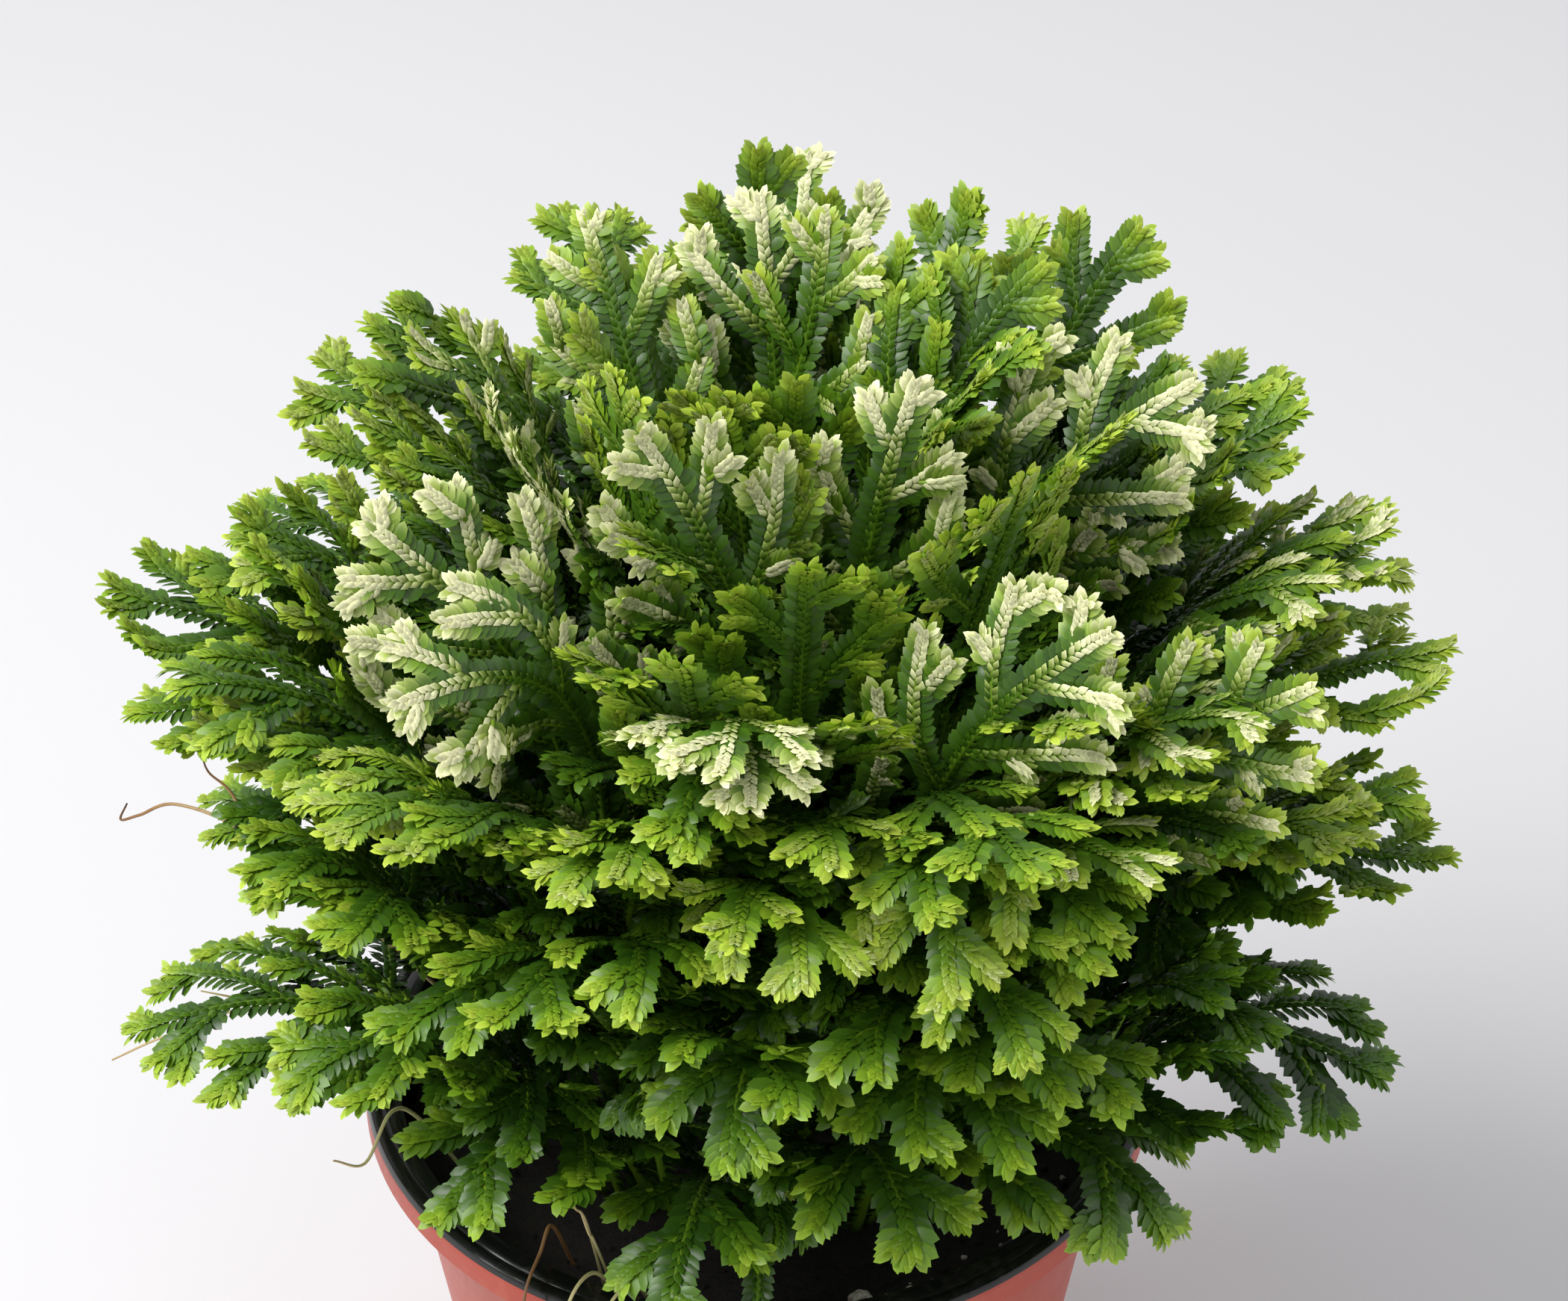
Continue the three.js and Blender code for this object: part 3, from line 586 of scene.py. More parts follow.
# Smaller side fronds, each on the stem of the shoot that it is named by.
SIDE_FRONDS = [Frond(*row, parent=row[0]) for row in (
    ("crown_left", 20, 228, 0.97, 30, 228, UP, 0.30, 0.11, "lime"),
    ("left_high_green", 38, 270, 0.97, 62, 270, UP, 0.30, 0.12, "lime"),
    ("left_high_green", 35, 284, 0.95, 62, 286, UP, 0.30, 0.11, "green"),
    ("left_fan", 26, 284, 0.96, 22, 285, OUT, 0.30, 0.11, "frost"),
    ("far_left", 59, 268, 0.98, 78, 268, UP, 0.32, 0.13, "green"),
    ("far_left", 54, 274, 0.95, 78, 274, UP, 0.32, 0.12, "lime"),
    ("far_left", 74, 272, 0.98, 98, 272, UP, 0.32, 0.12, "green"),
    ("far_left_cream", 64, 292, 0.97, 95, 288, UP, 0.32, 0.12, "lime"),
    ("edge_left", 60, 308, 0.96, 92, 306, UP, 0.30, 0.11, "lime"),
    ("edge_left", 57, 325, 0.95, 94, 322, UP, 0.30, 0.11, "green"),
    ("edge_front", 58, 338, 0.92, 96, 338, UP, 0.28, 0.10, "lime"),
    ("edge_front", 53, 350, 0.95, 96, 350, UP, 0.28, 0.10, "green"),
    ("left_low", 71, 304, 0.92, 98, 296, UP, 0.28, 0.10, "green"),
    ("left_low", 70, 316, 0.92, 104, 314, UP, 0.28, 0.11, "green"),
    ("lime_left", 77, 322, 0.88, 108, 322, UP, 0.30, 0.12, "deep"),
    ("lime_left", 67, 345, 0.88, 104, 345, UP, 0.30, 0.11, "green"),
    ("front_low", 72, 350, 0.85, 108, 350, UP, 0.30, 0.12, "deep"),
    ("front_low", 78, 0, 0.80, 112, 2, UP, 0.30, 0.12, "deep"),
    ("front_cream", 60, 355, 0.92, 98, 356, UP, 0.28, 0.09, "lime"),
    ("front_cream", 54, 4, 0.95, 96, 4, UP, 0.28, 0.10, "lime"),
    ("lime_low_right", 58, 13, 0.95, 96, 13, UP, 0.30, 0.11, "green"),
    ("lime_low_right", 66, 15, 0.90, 100, 15, UP, 0.30, 0.11, "lime"),
    ("front_right_low", 74, 8, 0.84, 106, 8, UP, 0.28, 0.11, "deep"),
    ("front_right", 72, 21, 0.90, 102, 21, UP, 0.32, 0.13, "green"),
    ("front_right_low", 86, 13, 0.78, 116, 13, UP, 0.30, 0.12, "deep"),
    ("front_right_low", 88, 22, 0.80, 116, 22, UP, 0.30, 0.12, "deep"),
    ("front_right_low", 84, 33, 0.84, 112, 33, UP, 0.30, 0.12, "deep"),
    ("front_right", 60, 34, 0.96, 92, 36, UP, 0.30, 0.11, "cream"),
    ("front_right", 66, 28, 0.93, 98, 28, UP, 0.28, 0.10, "green"),
    ("droop_right", 76, 42, 0.88, 104, 44, UP, 0.30, 0.12, "dark"),
    ("droop_right", 84, 50, 0.88, 112, 50, UP, 0.32, 0.13, "dark"),
    ("front_right", 62, 47, 0.94, 92, 47, UP, 0.30, 0.11, "dark"),
    ("right_low", 69, 60, 0.94, 94, 60, UP, 0.30, 0.11, "lime"),
    ("right_low", 74, 73, 0.97, 98, 74, UP, 0.30, 0.12, "green"),
    ("right_cream", 54, 88, 0.97, 76, 88, UP, 0.30, 0.12, "green"),
    ("right_cream", 52, 77, 0.98, 76, 76, UP, 0.32, 0.12, "cream"),
    ("right_high", 45, 106, 0.96, 68, 106, UP, 0.30, 0.12, "green"),
    ("right_high", 42, 88, 0.95, 68, 88, UP, 0.30, 0.12, "green"),
    ("right_high", 38, 106, 0.94, 60, 106, UP, 0.30, 0.12, "dark"),
    ("top_right", 21, 92, 0.95, 44, 92, UP, 0.30, 0.11, "green"),
    ("top_right", 18, 68, 0.95, 36, 68, UP, 0.30, 0.10, "lime"),
    ("crown_right", 16, 140, 0.97, 28, 140, UP, 0.32, 0.12, "green"),
    ("crown_back", 14, 165, 0.99, 24, 165, UP, 0.30, 0.11, "cream"),
    ("centre_top", 10, 5, 0.95, 10, 2, OUT, 0.30, 0.11, "green"),
    ("green_front", 42, 6, 0.96, 40, 6, OUT, 0.28, 0.10, "lime"),
    ("frost_right", 50, 64, 0.92, 72, 66, UP, 0.32, 0.13, "dark"),
    ("cream_right", 47, 32, 0.97, 80, 34, UP, 0.28, 0.11, "lime"),
    ("cream_right", 56, 42, 0.97, 86, 44, UP, 0.28, 0.11, "lime"),
    ("braid_front", 52, 19, 0.95, 80, 20, UP, 0.28, 0.11, "green"),
    ("centre_frost", 30, 334, 0.96, 66, 318, UP, 0.28, 0.11, "lime"),
    ("centre_frost", 14, 336, 0.94, 20, 332, OUT, 0.28, 0.11, "lime"),
    ("centre_green", 41, 336, 0.95, 72, 330, UP, 0.26, 0.10, "lime"),
    ("centre_hanging", 49, 356, 0.96, 100, 356, UP, 0.26, 0.10, "frost"),
    ("centre_hanging", 52, 348, 0.93, 98, 348, UP, 0.28, 0.10, "green"),
)]


def toward(azimuth, tilt=90.0):
    """The unit vector that way."""
    turn, lean = math.radians(azimuth), math.radians(tilt)
    level = math.sin(lean)
    return np.array([level * math.sin(turn), -level * math.cos(turn), math.cos(lean)])


def unit(v):
    return v / np.maximum(np.linalg.norm(v, axis=-1, keepdims=True), 1e-9)


def read_along(values, known, wanted):
    """Rows of values, known at some distances, read at others between them."""
    return np.stack([np.interp(wanted, known, values[:, k]) for k in range(3)], -1)


class Midline:
    """A shoot's arch, as a curve that is read by the distance along it, in millimetres."""

    def __init__(self, start, rise, tip, grow):
        span = np.linalg.norm(tip - start)
        knots = (start, start + rise * RISE * span, tip - grow * REACH_BACK * span, tip)
        t = np.linspace(0, 1, 161)[:, None]
        weights = ((1 - t) ** 3, 3 * (1 - t) ** 2 * t, 3 * (1 - t) * t**2, t**3)
        self.points = sum(w * k for w, k in zip(weights, knots))
        steps = np.linalg.norm(np.diff(self.points, axis=0), axis=1)
        self.along = np.concatenate([[0], np.cumsum(steps)])
        self.length = self.along[-1]
        self.tangents = unit(np.gradient(self.points, self.along, axis=0))

    def at(self, distance):
        """Points and directions at the distances. Past either end the curve runs on straight."""
        held = np.clip(distance, 0, self.length)
        point = read_along(self.points, self.along, held)
        run = unit(read_along(self.tangents, self.along, held))
        return point + run * (distance - held)[..., None], run


def midline_of(frond, midlines, fork=FORK):
    """A frond's line, from the mix or from a share of its parent's line, to its tip on the mound."""
    out = toward(frond.azimuth, frond.tilt) * np.array([1, 1, MOUND_FLATNESS])
    tip = MOUND_MIDDLE + out * frond.reach * MOUND_RADIUS
    if frond.parent:
        stem = midlines[frond.parent]
        start, rise = (v[0] for v in stem.at(np.array([fork * stem.length])))
    else:
        start = np.array([tip[0] * FOOT_SHARE, tip[1] * FOOT_SHARE, 0.0])
        start[2] = float(soil_height(start[0] * MM, start[1] * MM)) / MM + FOOT_GAP
        rise = unit(np.array([0.004 * tip[0], 0.004 * tip[1], 1.0]))
    return Midline(start, rise, tip, toward(frond.grow_azimuth, frond.grow_tilt))


def room_across(share, half_width):
    """Half width of a frond's outline, by the share of its length from its palm (0) to its tip (1)."""
    if share > 0.35:
        return half_width * math.sqrt(max(1 - ((share - 0.35) / 0.65) ** 2, 0))
    return half_width * max(1 - 0.8 * max((0.35 - share) / 1.1, 0) ** 1.2, 0.3)


# For the stem, a branchlet and its own branchlets: the distance between side branchlets, the angle
# at which those leave it, and the angle that they bend round to, in degrees.
NODE_STEP = (7.4, 6.4, 5.6)
SPREAD = (46, 40, 36)
LEANS_TO = (27, 20, 16)
ELBOW_ROOM = 4.6
CLEAR_OF_FORK = 6.5
MOST_SPOTS = 5900


class Branchlet:
    """A branchlet as it grows: its points along and across the frond, and its heading in degrees."""

    def __init__(self, number, order, at, heading, aim, pace, hand, first_node):
        self.number, self.order = number, order
        self.path = [at]
        self.heading, self.aim = heading, aim
        self.pace, self.hand = pace, hand
        self.next_node = first_node
        self.since_node = 0
        self.owed = 0.0
        self.live = True

    def its_turn(self):
        """Slower branchlets sit out a turn now and then."""
        self.owed += self.pace
        if self.owed < 1:
            return False
        self.owed -= 1
        return True

    def feel_ahead(self, rng):
        """The place a millimetre on, and the way there."""
        self.heading += (self.aim - self.heading) * 0.075
        way = math.radians(self.heading + (rng.normal(0, 0.5) if self.order else 0))
        ahead = np.array([math.cos(way), math.sin(way)])
        return np.array(self.path[-1]) + ahead, ahead

    def blocked(self, place, ahead, spots):
        """Whether another branchlet is in its way, apart from its parent where it forks."""
        gap = spots[:, :2] - place
        in_way = (np.hypot(gap[:, 0], gap[:, 1]) < ELBOW_ROOM) & (spots[:, 2] != self.number)
        in_way &= gap @ ahead > 0.2
        if len(self.path) < 7:
            in_way &= np.hypot(*(spots[:, :2] - self.path[0]).T) > CLEAR_OF_FORK
        return bool(in_way.any())

    def fork(self, number, rng, on_bare_stem):
        """A new branchlet from its end, on the other side from its last."""
        order, heading, hand = self.order, self.heading, self.hand
        child = Branchlet(
            number, order + 1, self.path[-1], heading + hand * SPREAD[order],
            heading + hand * LEANS_TO[order], self.pace * (0.86 if order else 0.94), hand,
            NODE_STEP[min(order + 1, 2)] * rng.uniform(0.9, 1.15),
        )
        self.hand = -hand
        self.since_node = 0
        self.next_node = NODE_STEP[order] * rng.uniform(0.88, 1.12) * (1.4 if on_bare_stem else 1)
        return child


def grow_frond(rng, length, half_width, stem_length, clear_stem):
    """The branchlets of one frond. Every tip grows a millimetre at a time, and stops at the frond's
    outline or where another branchlet is in its way."""
    spots = np.zeros((MOST_SPOTS + 100, 3))
    count = 0
    tips = [Branchlet(0, 0, (-stem_length, 0.0), 0.0, 0.0, 1.0, rng.choice([-1, 1]), 3.0)]
    while any(tip.live for tip in tips) and count < MOST_SPOTS:
        for tip in list(tips):
            if not tip.live or not tip.its_turn():
                continue
            place, ahead = tip.feel_ahead(rng)
            along, across = float(place[0]), float(place[1])
            if tip.order == 0:
                tip.live = along <= length
            else:
                edge = room_across(along / length, half_width)
                edge *= 1 + 0.08 * math.sin(3 * along + tip.number)
                past = abs(across) > edge or along > length * 1.02
                tip.live = not past and not tip.blocked(place, ahead, spots[:count])
            if not tip.live:
                continue
            tip.path.append((along, across))
            spots[count] = (along, across, tip.number)
            count += 1
            tip.since_node += 1
            if tip.order < 3 and tip.since_node >= tip.next_node and along > clear_stem - stem_length:
                on_bare_stem = tip.order == 0 and along < -0.35 * length
                tips.append(tip.fork(len(tips), rng, on_bare_stem))
    return [tip for tip in tips if len(tip.path) > 3]


def shape_leaf(sides, width, height, point):
    """One leaf, modelled at unit length along +X from its base at the origin: a low cone drawn out
    to a pointed oval. Gives its corners and its triangles."""
    bare_scene()
    bpy.ops.mesh.primitive_cone_add(
        vertices=sides, radius1=0.5, radius2=0, depth=height, location=(0.5, 0, 0),
        rotation=(0, 0, -math.pi / 2),
    )
    leaf = bpy.context.object
    bpy.ops.object.transform_apply()
    bpy.ops.object.mode_set(mode="EDIT")
    bpy.ops.mesh.select_all(action="SELECT")
    bpy.ops.transform.resize(value=(1, width, 1), center_override=(0.5, 0, 0))
    bpy.ops.mesh.select_all(action="DESELECT")
    bpy.ops.object.mode_set(mode="OBJECT")
    farthest = max(v.co.x for v in leaf.data.vertices)
    for v in leaf.data.vertices:
        v.select = v.co.x > farthest - 1e-4
    bpy.ops.object.mode_set(mode="EDIT")
    bpy.ops.transform.translate(value=(point, 0, -0.3 * height))
    bpy.ops.mesh.select_all(action="SELECT")
    bpy.ops.mesh.quads_convert_to_tris()
    face_outward()
    corners = np.array([v.co for v in leaf.data.vertices])
    corners[:, 0] -= corners[:, 0].min()
    corners[:, 0] /= corners[:, 0].max()
    triangles = np.array([p.vertices for p in leaf.data.polygons])
    bpy.data.objects.remove(leaf)
    return corners, triangles


SIDE_LEAF = shape_leaf(7, 0.64, 0.10, 0.06)
TOP_LEAF = shape_leaf(5, 0.52, 0.20, 0.12)
SIDE_LENGTH = 2.75
TOP_LENGTH = 1.85
TONES, FROSTS, OWNS = 24, 10, 4  # the steps that leaf colours are held to
STEM_CELL = np.array([(0.1, 0.1), (0.9, 0.1), (0.5, 0.9)])


class Leafage:
    """What one shoot's mesh is built up from: corners, triangles, and each corner's tone (0 old to
    1 new), frost (0 green to 1 white), own variation, place along its leaf and whether it is on the
    leaf's edge. Leaves of one colour share a cell of the OFBake map, upper side in its lower half
    and underside above."""

    def __init__(self):
        self.corners = []
        self.triangles = []
        self.cells = []
        self.places = []
        self.values = {key: [] for key in ("tone", "frost", "own", "leaf_along", "leaf_edge")}
        self.count = 0

    def add(self, corners, triangles, cells, places, **values):
        self.triangles.append(triangles + self.count)
        self.corners.append(corners)
        self.count += len(corners)
        self.cells.append(np.broadcast_to(cells, len(triangles)))
        self.places.append(np.broadcast_to(places, (len(triangles), 3, 2)))
        for key, value in values.items():
            self.values[key].append(np.broadcast_to(value, len(corners)).astype(np.float32))

    def add_leaves(self, shape, place, run, face, length, broad, bend, tone, frost, own):
        """Sets a copy of the leaf at each place, lying along run with its upper side to face."""
        corners, triangles = shape
        run = unit(run)
        across = unit(np.cross(face, run))
        face = np.cross(run, across)
        x = corners[:, 0] * length[:, None]
        y = corners[:, 1] * (length * broad)[:, None]
        z = corners[:, 2] * length[:, None] - bend[:, None] * corners[:, 0] ** 2 * length[:, None]
        at = place[:, None] + x[..., None] * run[:, None] + y[..., None] * across[:, None]
        at = at + z[..., None] * face[:, None]
        leaves, each = x.shape
        faces = triangles[None] + (np.arange(leaves) * each)[:, None, None]
        edge = corners[:, 2] < corners[:, 2].max() - 1e-4
        tone, frost = np.round(np.clip(tone, 0, 1) * TONES), np.round(frost * FROSTS)
        own = np.floor(own * OWNS)
        cell = tone * 1000 + frost * 10 + own
        on_cell = np.stack([0.06 + 0.88 * corners[:, 0], 0.25 + 0.60 * corners[:, 1]], -1)[triangles]
        on_cell[..., 1] += 0.5 * edge[triangles].all(axis=1)[:, None]
        self.add(
            at.reshape(-1, 3), faces.reshape(-1, 3),
            np.repeat(cell, len(triangles)), np.tile(on_cell, (leaves, 1, 1)),
            tone=np.repeat(tone / TONES, each), frost=np.repeat(frost / FROSTS, each),
            own=np.repeat((own + 0.5) / OWNS, each),
            leaf_along=np.tile(corners[:, 0], leaves), leaf_edge=np.tile(edge, leaves),
        )

    def add_stem(self, points, radii, faces_up, tone, sides=5):
        """A tapered stalk through the points, closed at both ends."""
        run = unit(np.gradient(points, axis=0))
        across = unit(np.cross(run, faces_up))
        up = np.cross(across, run)
        turn = 2 * np.pi * np.arange(sides) / sides
        ring = np.cos(turn)[None, :, None] * across[:, None] + np.sin(turn)[None, :, None] * up[:, None]
        corners = (points[:, None] + ring * radii[:, None, None]).reshape(-1, 3)
        n = len(points)
        i, k = np.meshgrid(np.arange(n - 1), np.arange(sides), indexing="ij")
        a, b = i * sides + k, i * sides + (k + 1) % sides
        c, d = a + sides, b + sides
        walls = np.concatenate([np.stack([a, b, d], -1), np.stack([a, d, c], -1)]).reshape(-1, 3)
        fan = np.array([[0, j + 1, j] for j in range(1, sides - 1)])
        ends = np.concatenate([fan, fan[:, ::-1] + (n - 1) * sides])
        step = round(float(tone) * TONES)
        self.add(
            corners, np.concatenate([walls, ends]), -1 - step, STEM_CELL,
            tone=step / TONES, frost=0.0, own=0.5, leaf_along=0.5, leaf_edge=0.0,
        )

    def mesh(self, name):
        mesh = bpy.data.meshes.new(name)
        corners = (np.concatenate(self.corners) * MM).astype(np.float32)
        triangles = np.concatenate(self.triangles).astype(np.int32)
        mesh.vertices.add(len(corners))
        mesh.vertices.foreach_set("co", corners.ravel())
        mesh.loops.add(triangles.size)
        mesh.loops.foreach_set("vertex_index", triangles.ravel())
        mesh.polygons.add(len(triangles))
        mesh.polygons.foreach_set("loop_start", np.arange(0, triangles.size, 3, dtype=np.int32))
        mesh.polygons.foreach_set("use_smooth", np.ones(len(triangles), bool))
        for key, values in self.values.items():
            layer = mesh.attributes.new(key, "FLOAT", "POINT")
            layer.data.foreach_set("value", np.concatenate(values))
        cells = np.unique(np.concatenate(self.cells), return_inverse=True)[1]
        across = math.ceil(math.sqrt(cells.max() + 1))
        corner = np.stack([cells % across, cells // across], -1)[:, None]
        places = (corner + np.concatenate(self.places)) / across
        bake_map = mesh.uv_layers.new(name="OFBake")
        bake_map.data.foreach_set("uv", places.astype(np.float32).ravel())
        mesh.update(calc_edges=True)
        ends = np.empty(2 * len(mesh.edges), np.int32)
        mesh.edges.foreach_get("vertices", ends)
        on_edge = (np.concatenate(self.values["leaf_edge"]) > 0.5)[ends].reshape(-1, 2).all(axis=1)
        crisp = mesh.attributes.new("sharp_edge", "BOOLEAN", "EDGE")
        crisp.data.foreach_set("value", on_edge)
        return mesh


def leaf_stations():
    """Distances back from a tip at which leaves stand: crowded in the bud, wider apart lower down."""
    found = [0.25]
    while found[-1] < 170:
        back = found[-1]
        found.append(back + 0.36 + 0.78 * min(back / 7, 1) ** 0.8 + 0.37 * min(back / 45, 1))
    return np.array(found)


STATIONS = leaf_stations()
BETWEEN_STATIONS = (STATIONS[1:] + STATIONS[:-1]) / 2

# How each tint colours a frond: tone of its newest and its oldest leaves, how far down from the tips
# new colour lasts (mm), white of its top row and of its side rows at the tips, and how far it lasts.
TINTS = {
    # The dark tint is partly the own colour of old leaves and partly painted shade. It goes on fronds
    # that lie in shade inside the mound or show their shaded undersides.
    "dark": (0.54, 0.09, 3.5, 0.0, 0.0, 4.0),
    "deep": (0.82, 0.26, 3.8, 0.06, 0.0, 5.0),
    "green": (0.92, 0.29, 4.3, 0.14, 0.0, 5.0),
    "lime": (1.00, 0.36, 5.5, 0.36, 0.06, 7.0),
    "cream": (0.98, 0.33, 5.0, 0.70, 0.20, 8.0),
    "frost": (0.97, 0.31, 5.0, 0.95, 0.58, 12.5),
}

# How large the leaves and the branchlets' spacing are on each tint of frond, against the usual.
LEAF_SIZES = {"dark": 1.15, "deep": 1.28, "green": 1.06, "lime": 1.0, "cream": 1.0, "frost": 1.0}


class Stalk:
    """A branchlet's stalk through its points, read by distances back from its tip."""

    def __init__(self, points, up):
        steps = np.linalg.norm(np.diff(points, axis=0), axis=1)
        self.points, self.up = points, up
        self.distance = np.concatenate([[0], np.cumsum(steps)])
        self.length = self.distance[-1]
        self.runs = unit(np.gradient(points, self.distance, axis=0))

    def at(self, back):
        """Places, and the ways there that run on, to the right and out of the upper side."""
        place, run, up = (
            read_along(values, self.distance, self.length - back)
            for values in (self.points, self.runs, self.up)
        )
        run = unit(run)
        right = unit(np.cross(run, up))
        return place, run, right, np.cross(right, run)


def fades(back, lasts, power=1.5):
    """What is left of a tip's colour at distances back from it."""
    return np.exp(-((back / lasts) ** power))


def swing(run, side, face, opened, lift):
    """The way of leaves that open from the run to the side and lift from the sheet, by angles."""
    flat = np.cos(opened)[:, None] * run + np.sin(opened)[:, None] * side
    return np.cos(lift)[:, None] * flat + np.sin(lift)[:, None] * face


def set_side_leaves(leafage, rng, stalk, back, hand, tint, held_back, size):
    """A flat row of large leaves that spread to one side, most upright in the bud."""
    newest, oldest, lasts, _, white_side, white_lasts = tint
    place, run, right, face = stalk.at(back)
    n = len(back)
    age = back + held_back
    tone = oldest + (newest - oldest) * fades(age, lasts) + rng.normal(0, 0.035, n)
    bud = np.exp(-back / 2.2)
    opened = np.radians(64 - 38 * bud + rng.normal(0, 3.5, n))
    lift = np.radians(rng.normal(3, 5, n) + 34 * bud * rng.uniform(-0.7, 1, n))
    way = swing(run, hand * right, face, opened, lift)
    roll = np.radians(rng.normal(20, 4, n)) * hand
    tilted = np.cos(roll)[:, None] * face - np.sin(roll)[:, None] * np.cross(way, face)
    swell = np.exp(-(((back - 3.2) / 2.4) ** 2))
    length = (SIDE_LENGTH - 0.70 * bud + 0.2 * swell) * size * rng.uniform(0.93, 1.07, n)
    white = white_side * fades(age, 0.36 * white_lasts, 1.7)
    frost = np.clip(white * rng.uniform(0.7, 1.25, n), 0, 1)
    leafage.add_leaves(
        SIDE_LEAF, place + hand * 0.18 * right - 0.05 * face, way, tilted, length,
        rng.uniform(0.92, 1.08, n) * (1 - 0.25 * bud), rng.normal(0.10, 0.05, n), tone, frost,
        rng.uniform(0, 1, n),
    )


def set_top_leaves(leafage, rng, stalk, back, hand, tint, held_back, size):
    """A row of small leaves that lie forward along the top, a little to one side."""
    newest, oldest, lasts, white_top, _, white_lasts = tint
    place, run, right, face = stalk.at(back)
    n = len(back)
    age = back + held_back
    tone = oldest + (newest - oldest) * fades(age, 1.25 * lasts) + 0.05 + rng.normal(0, 0.03, n)
    bud = np.exp(-back / 2.2)
    opened = np.radians(25 - 5 * bud + rng.normal(0, 4, n))
    lift = np.radians(15 + 16 * bud + rng.normal(0, 4, n))
    way = swing(run, hand * right, face, opened, lift)
    length = (TOP_LENGTH - 0.25 * bud) * size * rng.uniform(0.93, 1.07, n)
    frost = np.clip(white_top * fades(age, white_lasts) * rng.uniform(0.8, 1.2, n), 0, 1)
    leafage.add_leaves(
        TOP_LEAF, place + hand * 0.12 * right + 0.26 * face, way, face + hand * 0.22 * right, length,
        rng.uniform(0.95, 1.1, n), rng.normal(0.05, 0.03, n), tone, frost, rng.uniform(0, 1, n),
    )


def clothe(leafage, rng, points, up, tint, held_back, size):
    """Covers one branchlet, given as points from its base to its tip, with its stalk and leaves."""
    stalk = Stalk(points, up)
    from_tip = stalk.length - stalk.distance
    keep = np.unique(np.concatenate([np.arange(0, len(points), 2), [len(points) - 1]]))
    radii = 0.30 + 0.45 * np.clip(from_tip[keep] / 70, 0, 1)
    tone = (0.75 - 0.25 * np.clip(from_tip[keep] / 60, 0, 1)).mean()
    leafage.add_stem(points[keep], radii * size, up[keep], tone)
    for hand in (-1, 1):
        stations = STATIONS if hand > 0 else BETWEEN_STATIONS
        for set_leaves, first in ((set_side_leaves, 0.0), (set_top_leaves, 0.2)):
            back = stations * size + first
            back = back[back < stalk.length - 0.4]
            if len(back):
                set_leaves(leafage, rng, stalk, back, hand, TINTS[tint], held_back, size)


def leaf_frond(leafage, rng, frond, midline, clear_stem):
    """Grows and clothes one frond on its midline."""
    length = frond.length * MOUND_RADIUS
    stem_length = midline.length - length
    size = LEAF_SIZES[frond.tint]
    if frond.facing == FRONT:
        reference = toward(0, FRONT_TILT)
    else:
        reference = toward(frond.azimuth, frond.facing)
    phase = rng.uniform(0, 2 * np.pi)
    curl = rng.normal(0.3, 0.8)

    def on_sheet(along, across, lift):
        """Places on the frond's waved and drooping sheet, and the way out of its upper side."""
        point, run = midline.at(stem_length + along)
        side = unit(np.cross(run, reference))
        face = np.cross(side, run)
        fall = DROOP * across**2
        wave = 0.5 * np.sin(along / 6 + phase) * np.clip(np.abs(across) / 6, 0, 1)
        return point + side * across[:, None] + face * (lift - fall + wave)[:, None], face

    grown_at = (v / size for v in (length, frond.half_width * MOUND_RADIUS, stem_length, clear_stem))
    for branchlet in grow_frond(rng, *grown_at):
        path = np.array(branchlet.path) * size
        grown = np.arange(len(path))
        own_lift = rng.normal(0, 0.7) if branchlet.order else 0.0
        near_tip = np.clip((7 - len(path) + grown) / 6, 0, 1)
        lift = own_lift * (1 - np.exp(-grown / 5)) + curl * near_tip**2
        points, face = on_sheet(path[:, 0], path[:, 1], lift)
        inner = np.clip(0.55 - path[-1, 0] / length, 0, 1)
        held_back = 9 * inner if branchlet.order else 0.0
        clothe(leafage, rng, points, face, frond.tint, held_back, size * rng.uniform(0.94, 1.05))


def foliage():
    """Leaf green by age, from near black through glossy green to lime, whitening with frost. The
    near-black end, used by the dark tint, is partly painted shade.
    """
    material, tree, shader = plain_material("moss_leaf", 0.42, coat=0.12, coat_roughness=0.28)

    def read(name):
        return node(tree, "ShaderNodeAttribute", attribute_name=name).outputs["Fac"]

    tone, edge = read("tone"), read("leaf_edge")
    green = shade_along(
        tree, tone,
        (0.0, (0.008, 0.027, 0.003)),
        (0.25, (0.026, 0.078, 0.004)),
        (0.45, (0.064, 0.155, 0.006)),
        (0.65, (0.130, 0.255, 0.009)),
        (0.83, (0.25, 0.40, 0.018)),
        (1.0, (0.45, 0.57, 0.05)),
    )
    reach = combine(tree, "MULTIPLY", read("frost"), 1.7)
    grown = combine(tree, "MULTIPLY_ADD", read("leaf_along"), 0.5, -0.5)
    inward = combine(tree, "MULTIPLY", edge, 0.12)
    frosted = combine(tree, "ADD", combine(tree, "ADD", reach, grown), inward)
    white = stretch(tree, frosted, low=0.12)
    pale = blend(tree, stretch(tree, white, high=0.55), green, (0.40, 0.50, 0.12, 1))
    cream = blend(tree, stretch(tree, white, low=0.45), pale, (0.85, 0.85, 0.50, 1))
    # Leaf margins are made lighter. This is partly the leaf's own pale margin and partly painted glow of
    # light passing through the thin edges.
    outline = stretch(tree, edge, low=0.5, to_high=0.22)
    by_leaf = stretch(tree, read("own"), to_low=0.78, to_high=1.15)
    light = combine(tree, "ADD", by_leaf, outline)
    lit = node(tree, "ShaderNodeHueSaturation", {"Value": light, "Color": cream})
    tree.links.new(lit.outputs["Color"], shader.inputs["Base Color"])
    tree.links.new(stretch(tree, tone, to_low=0.24, to_high=0.55), shader.inputs["Roughness"])
    return material


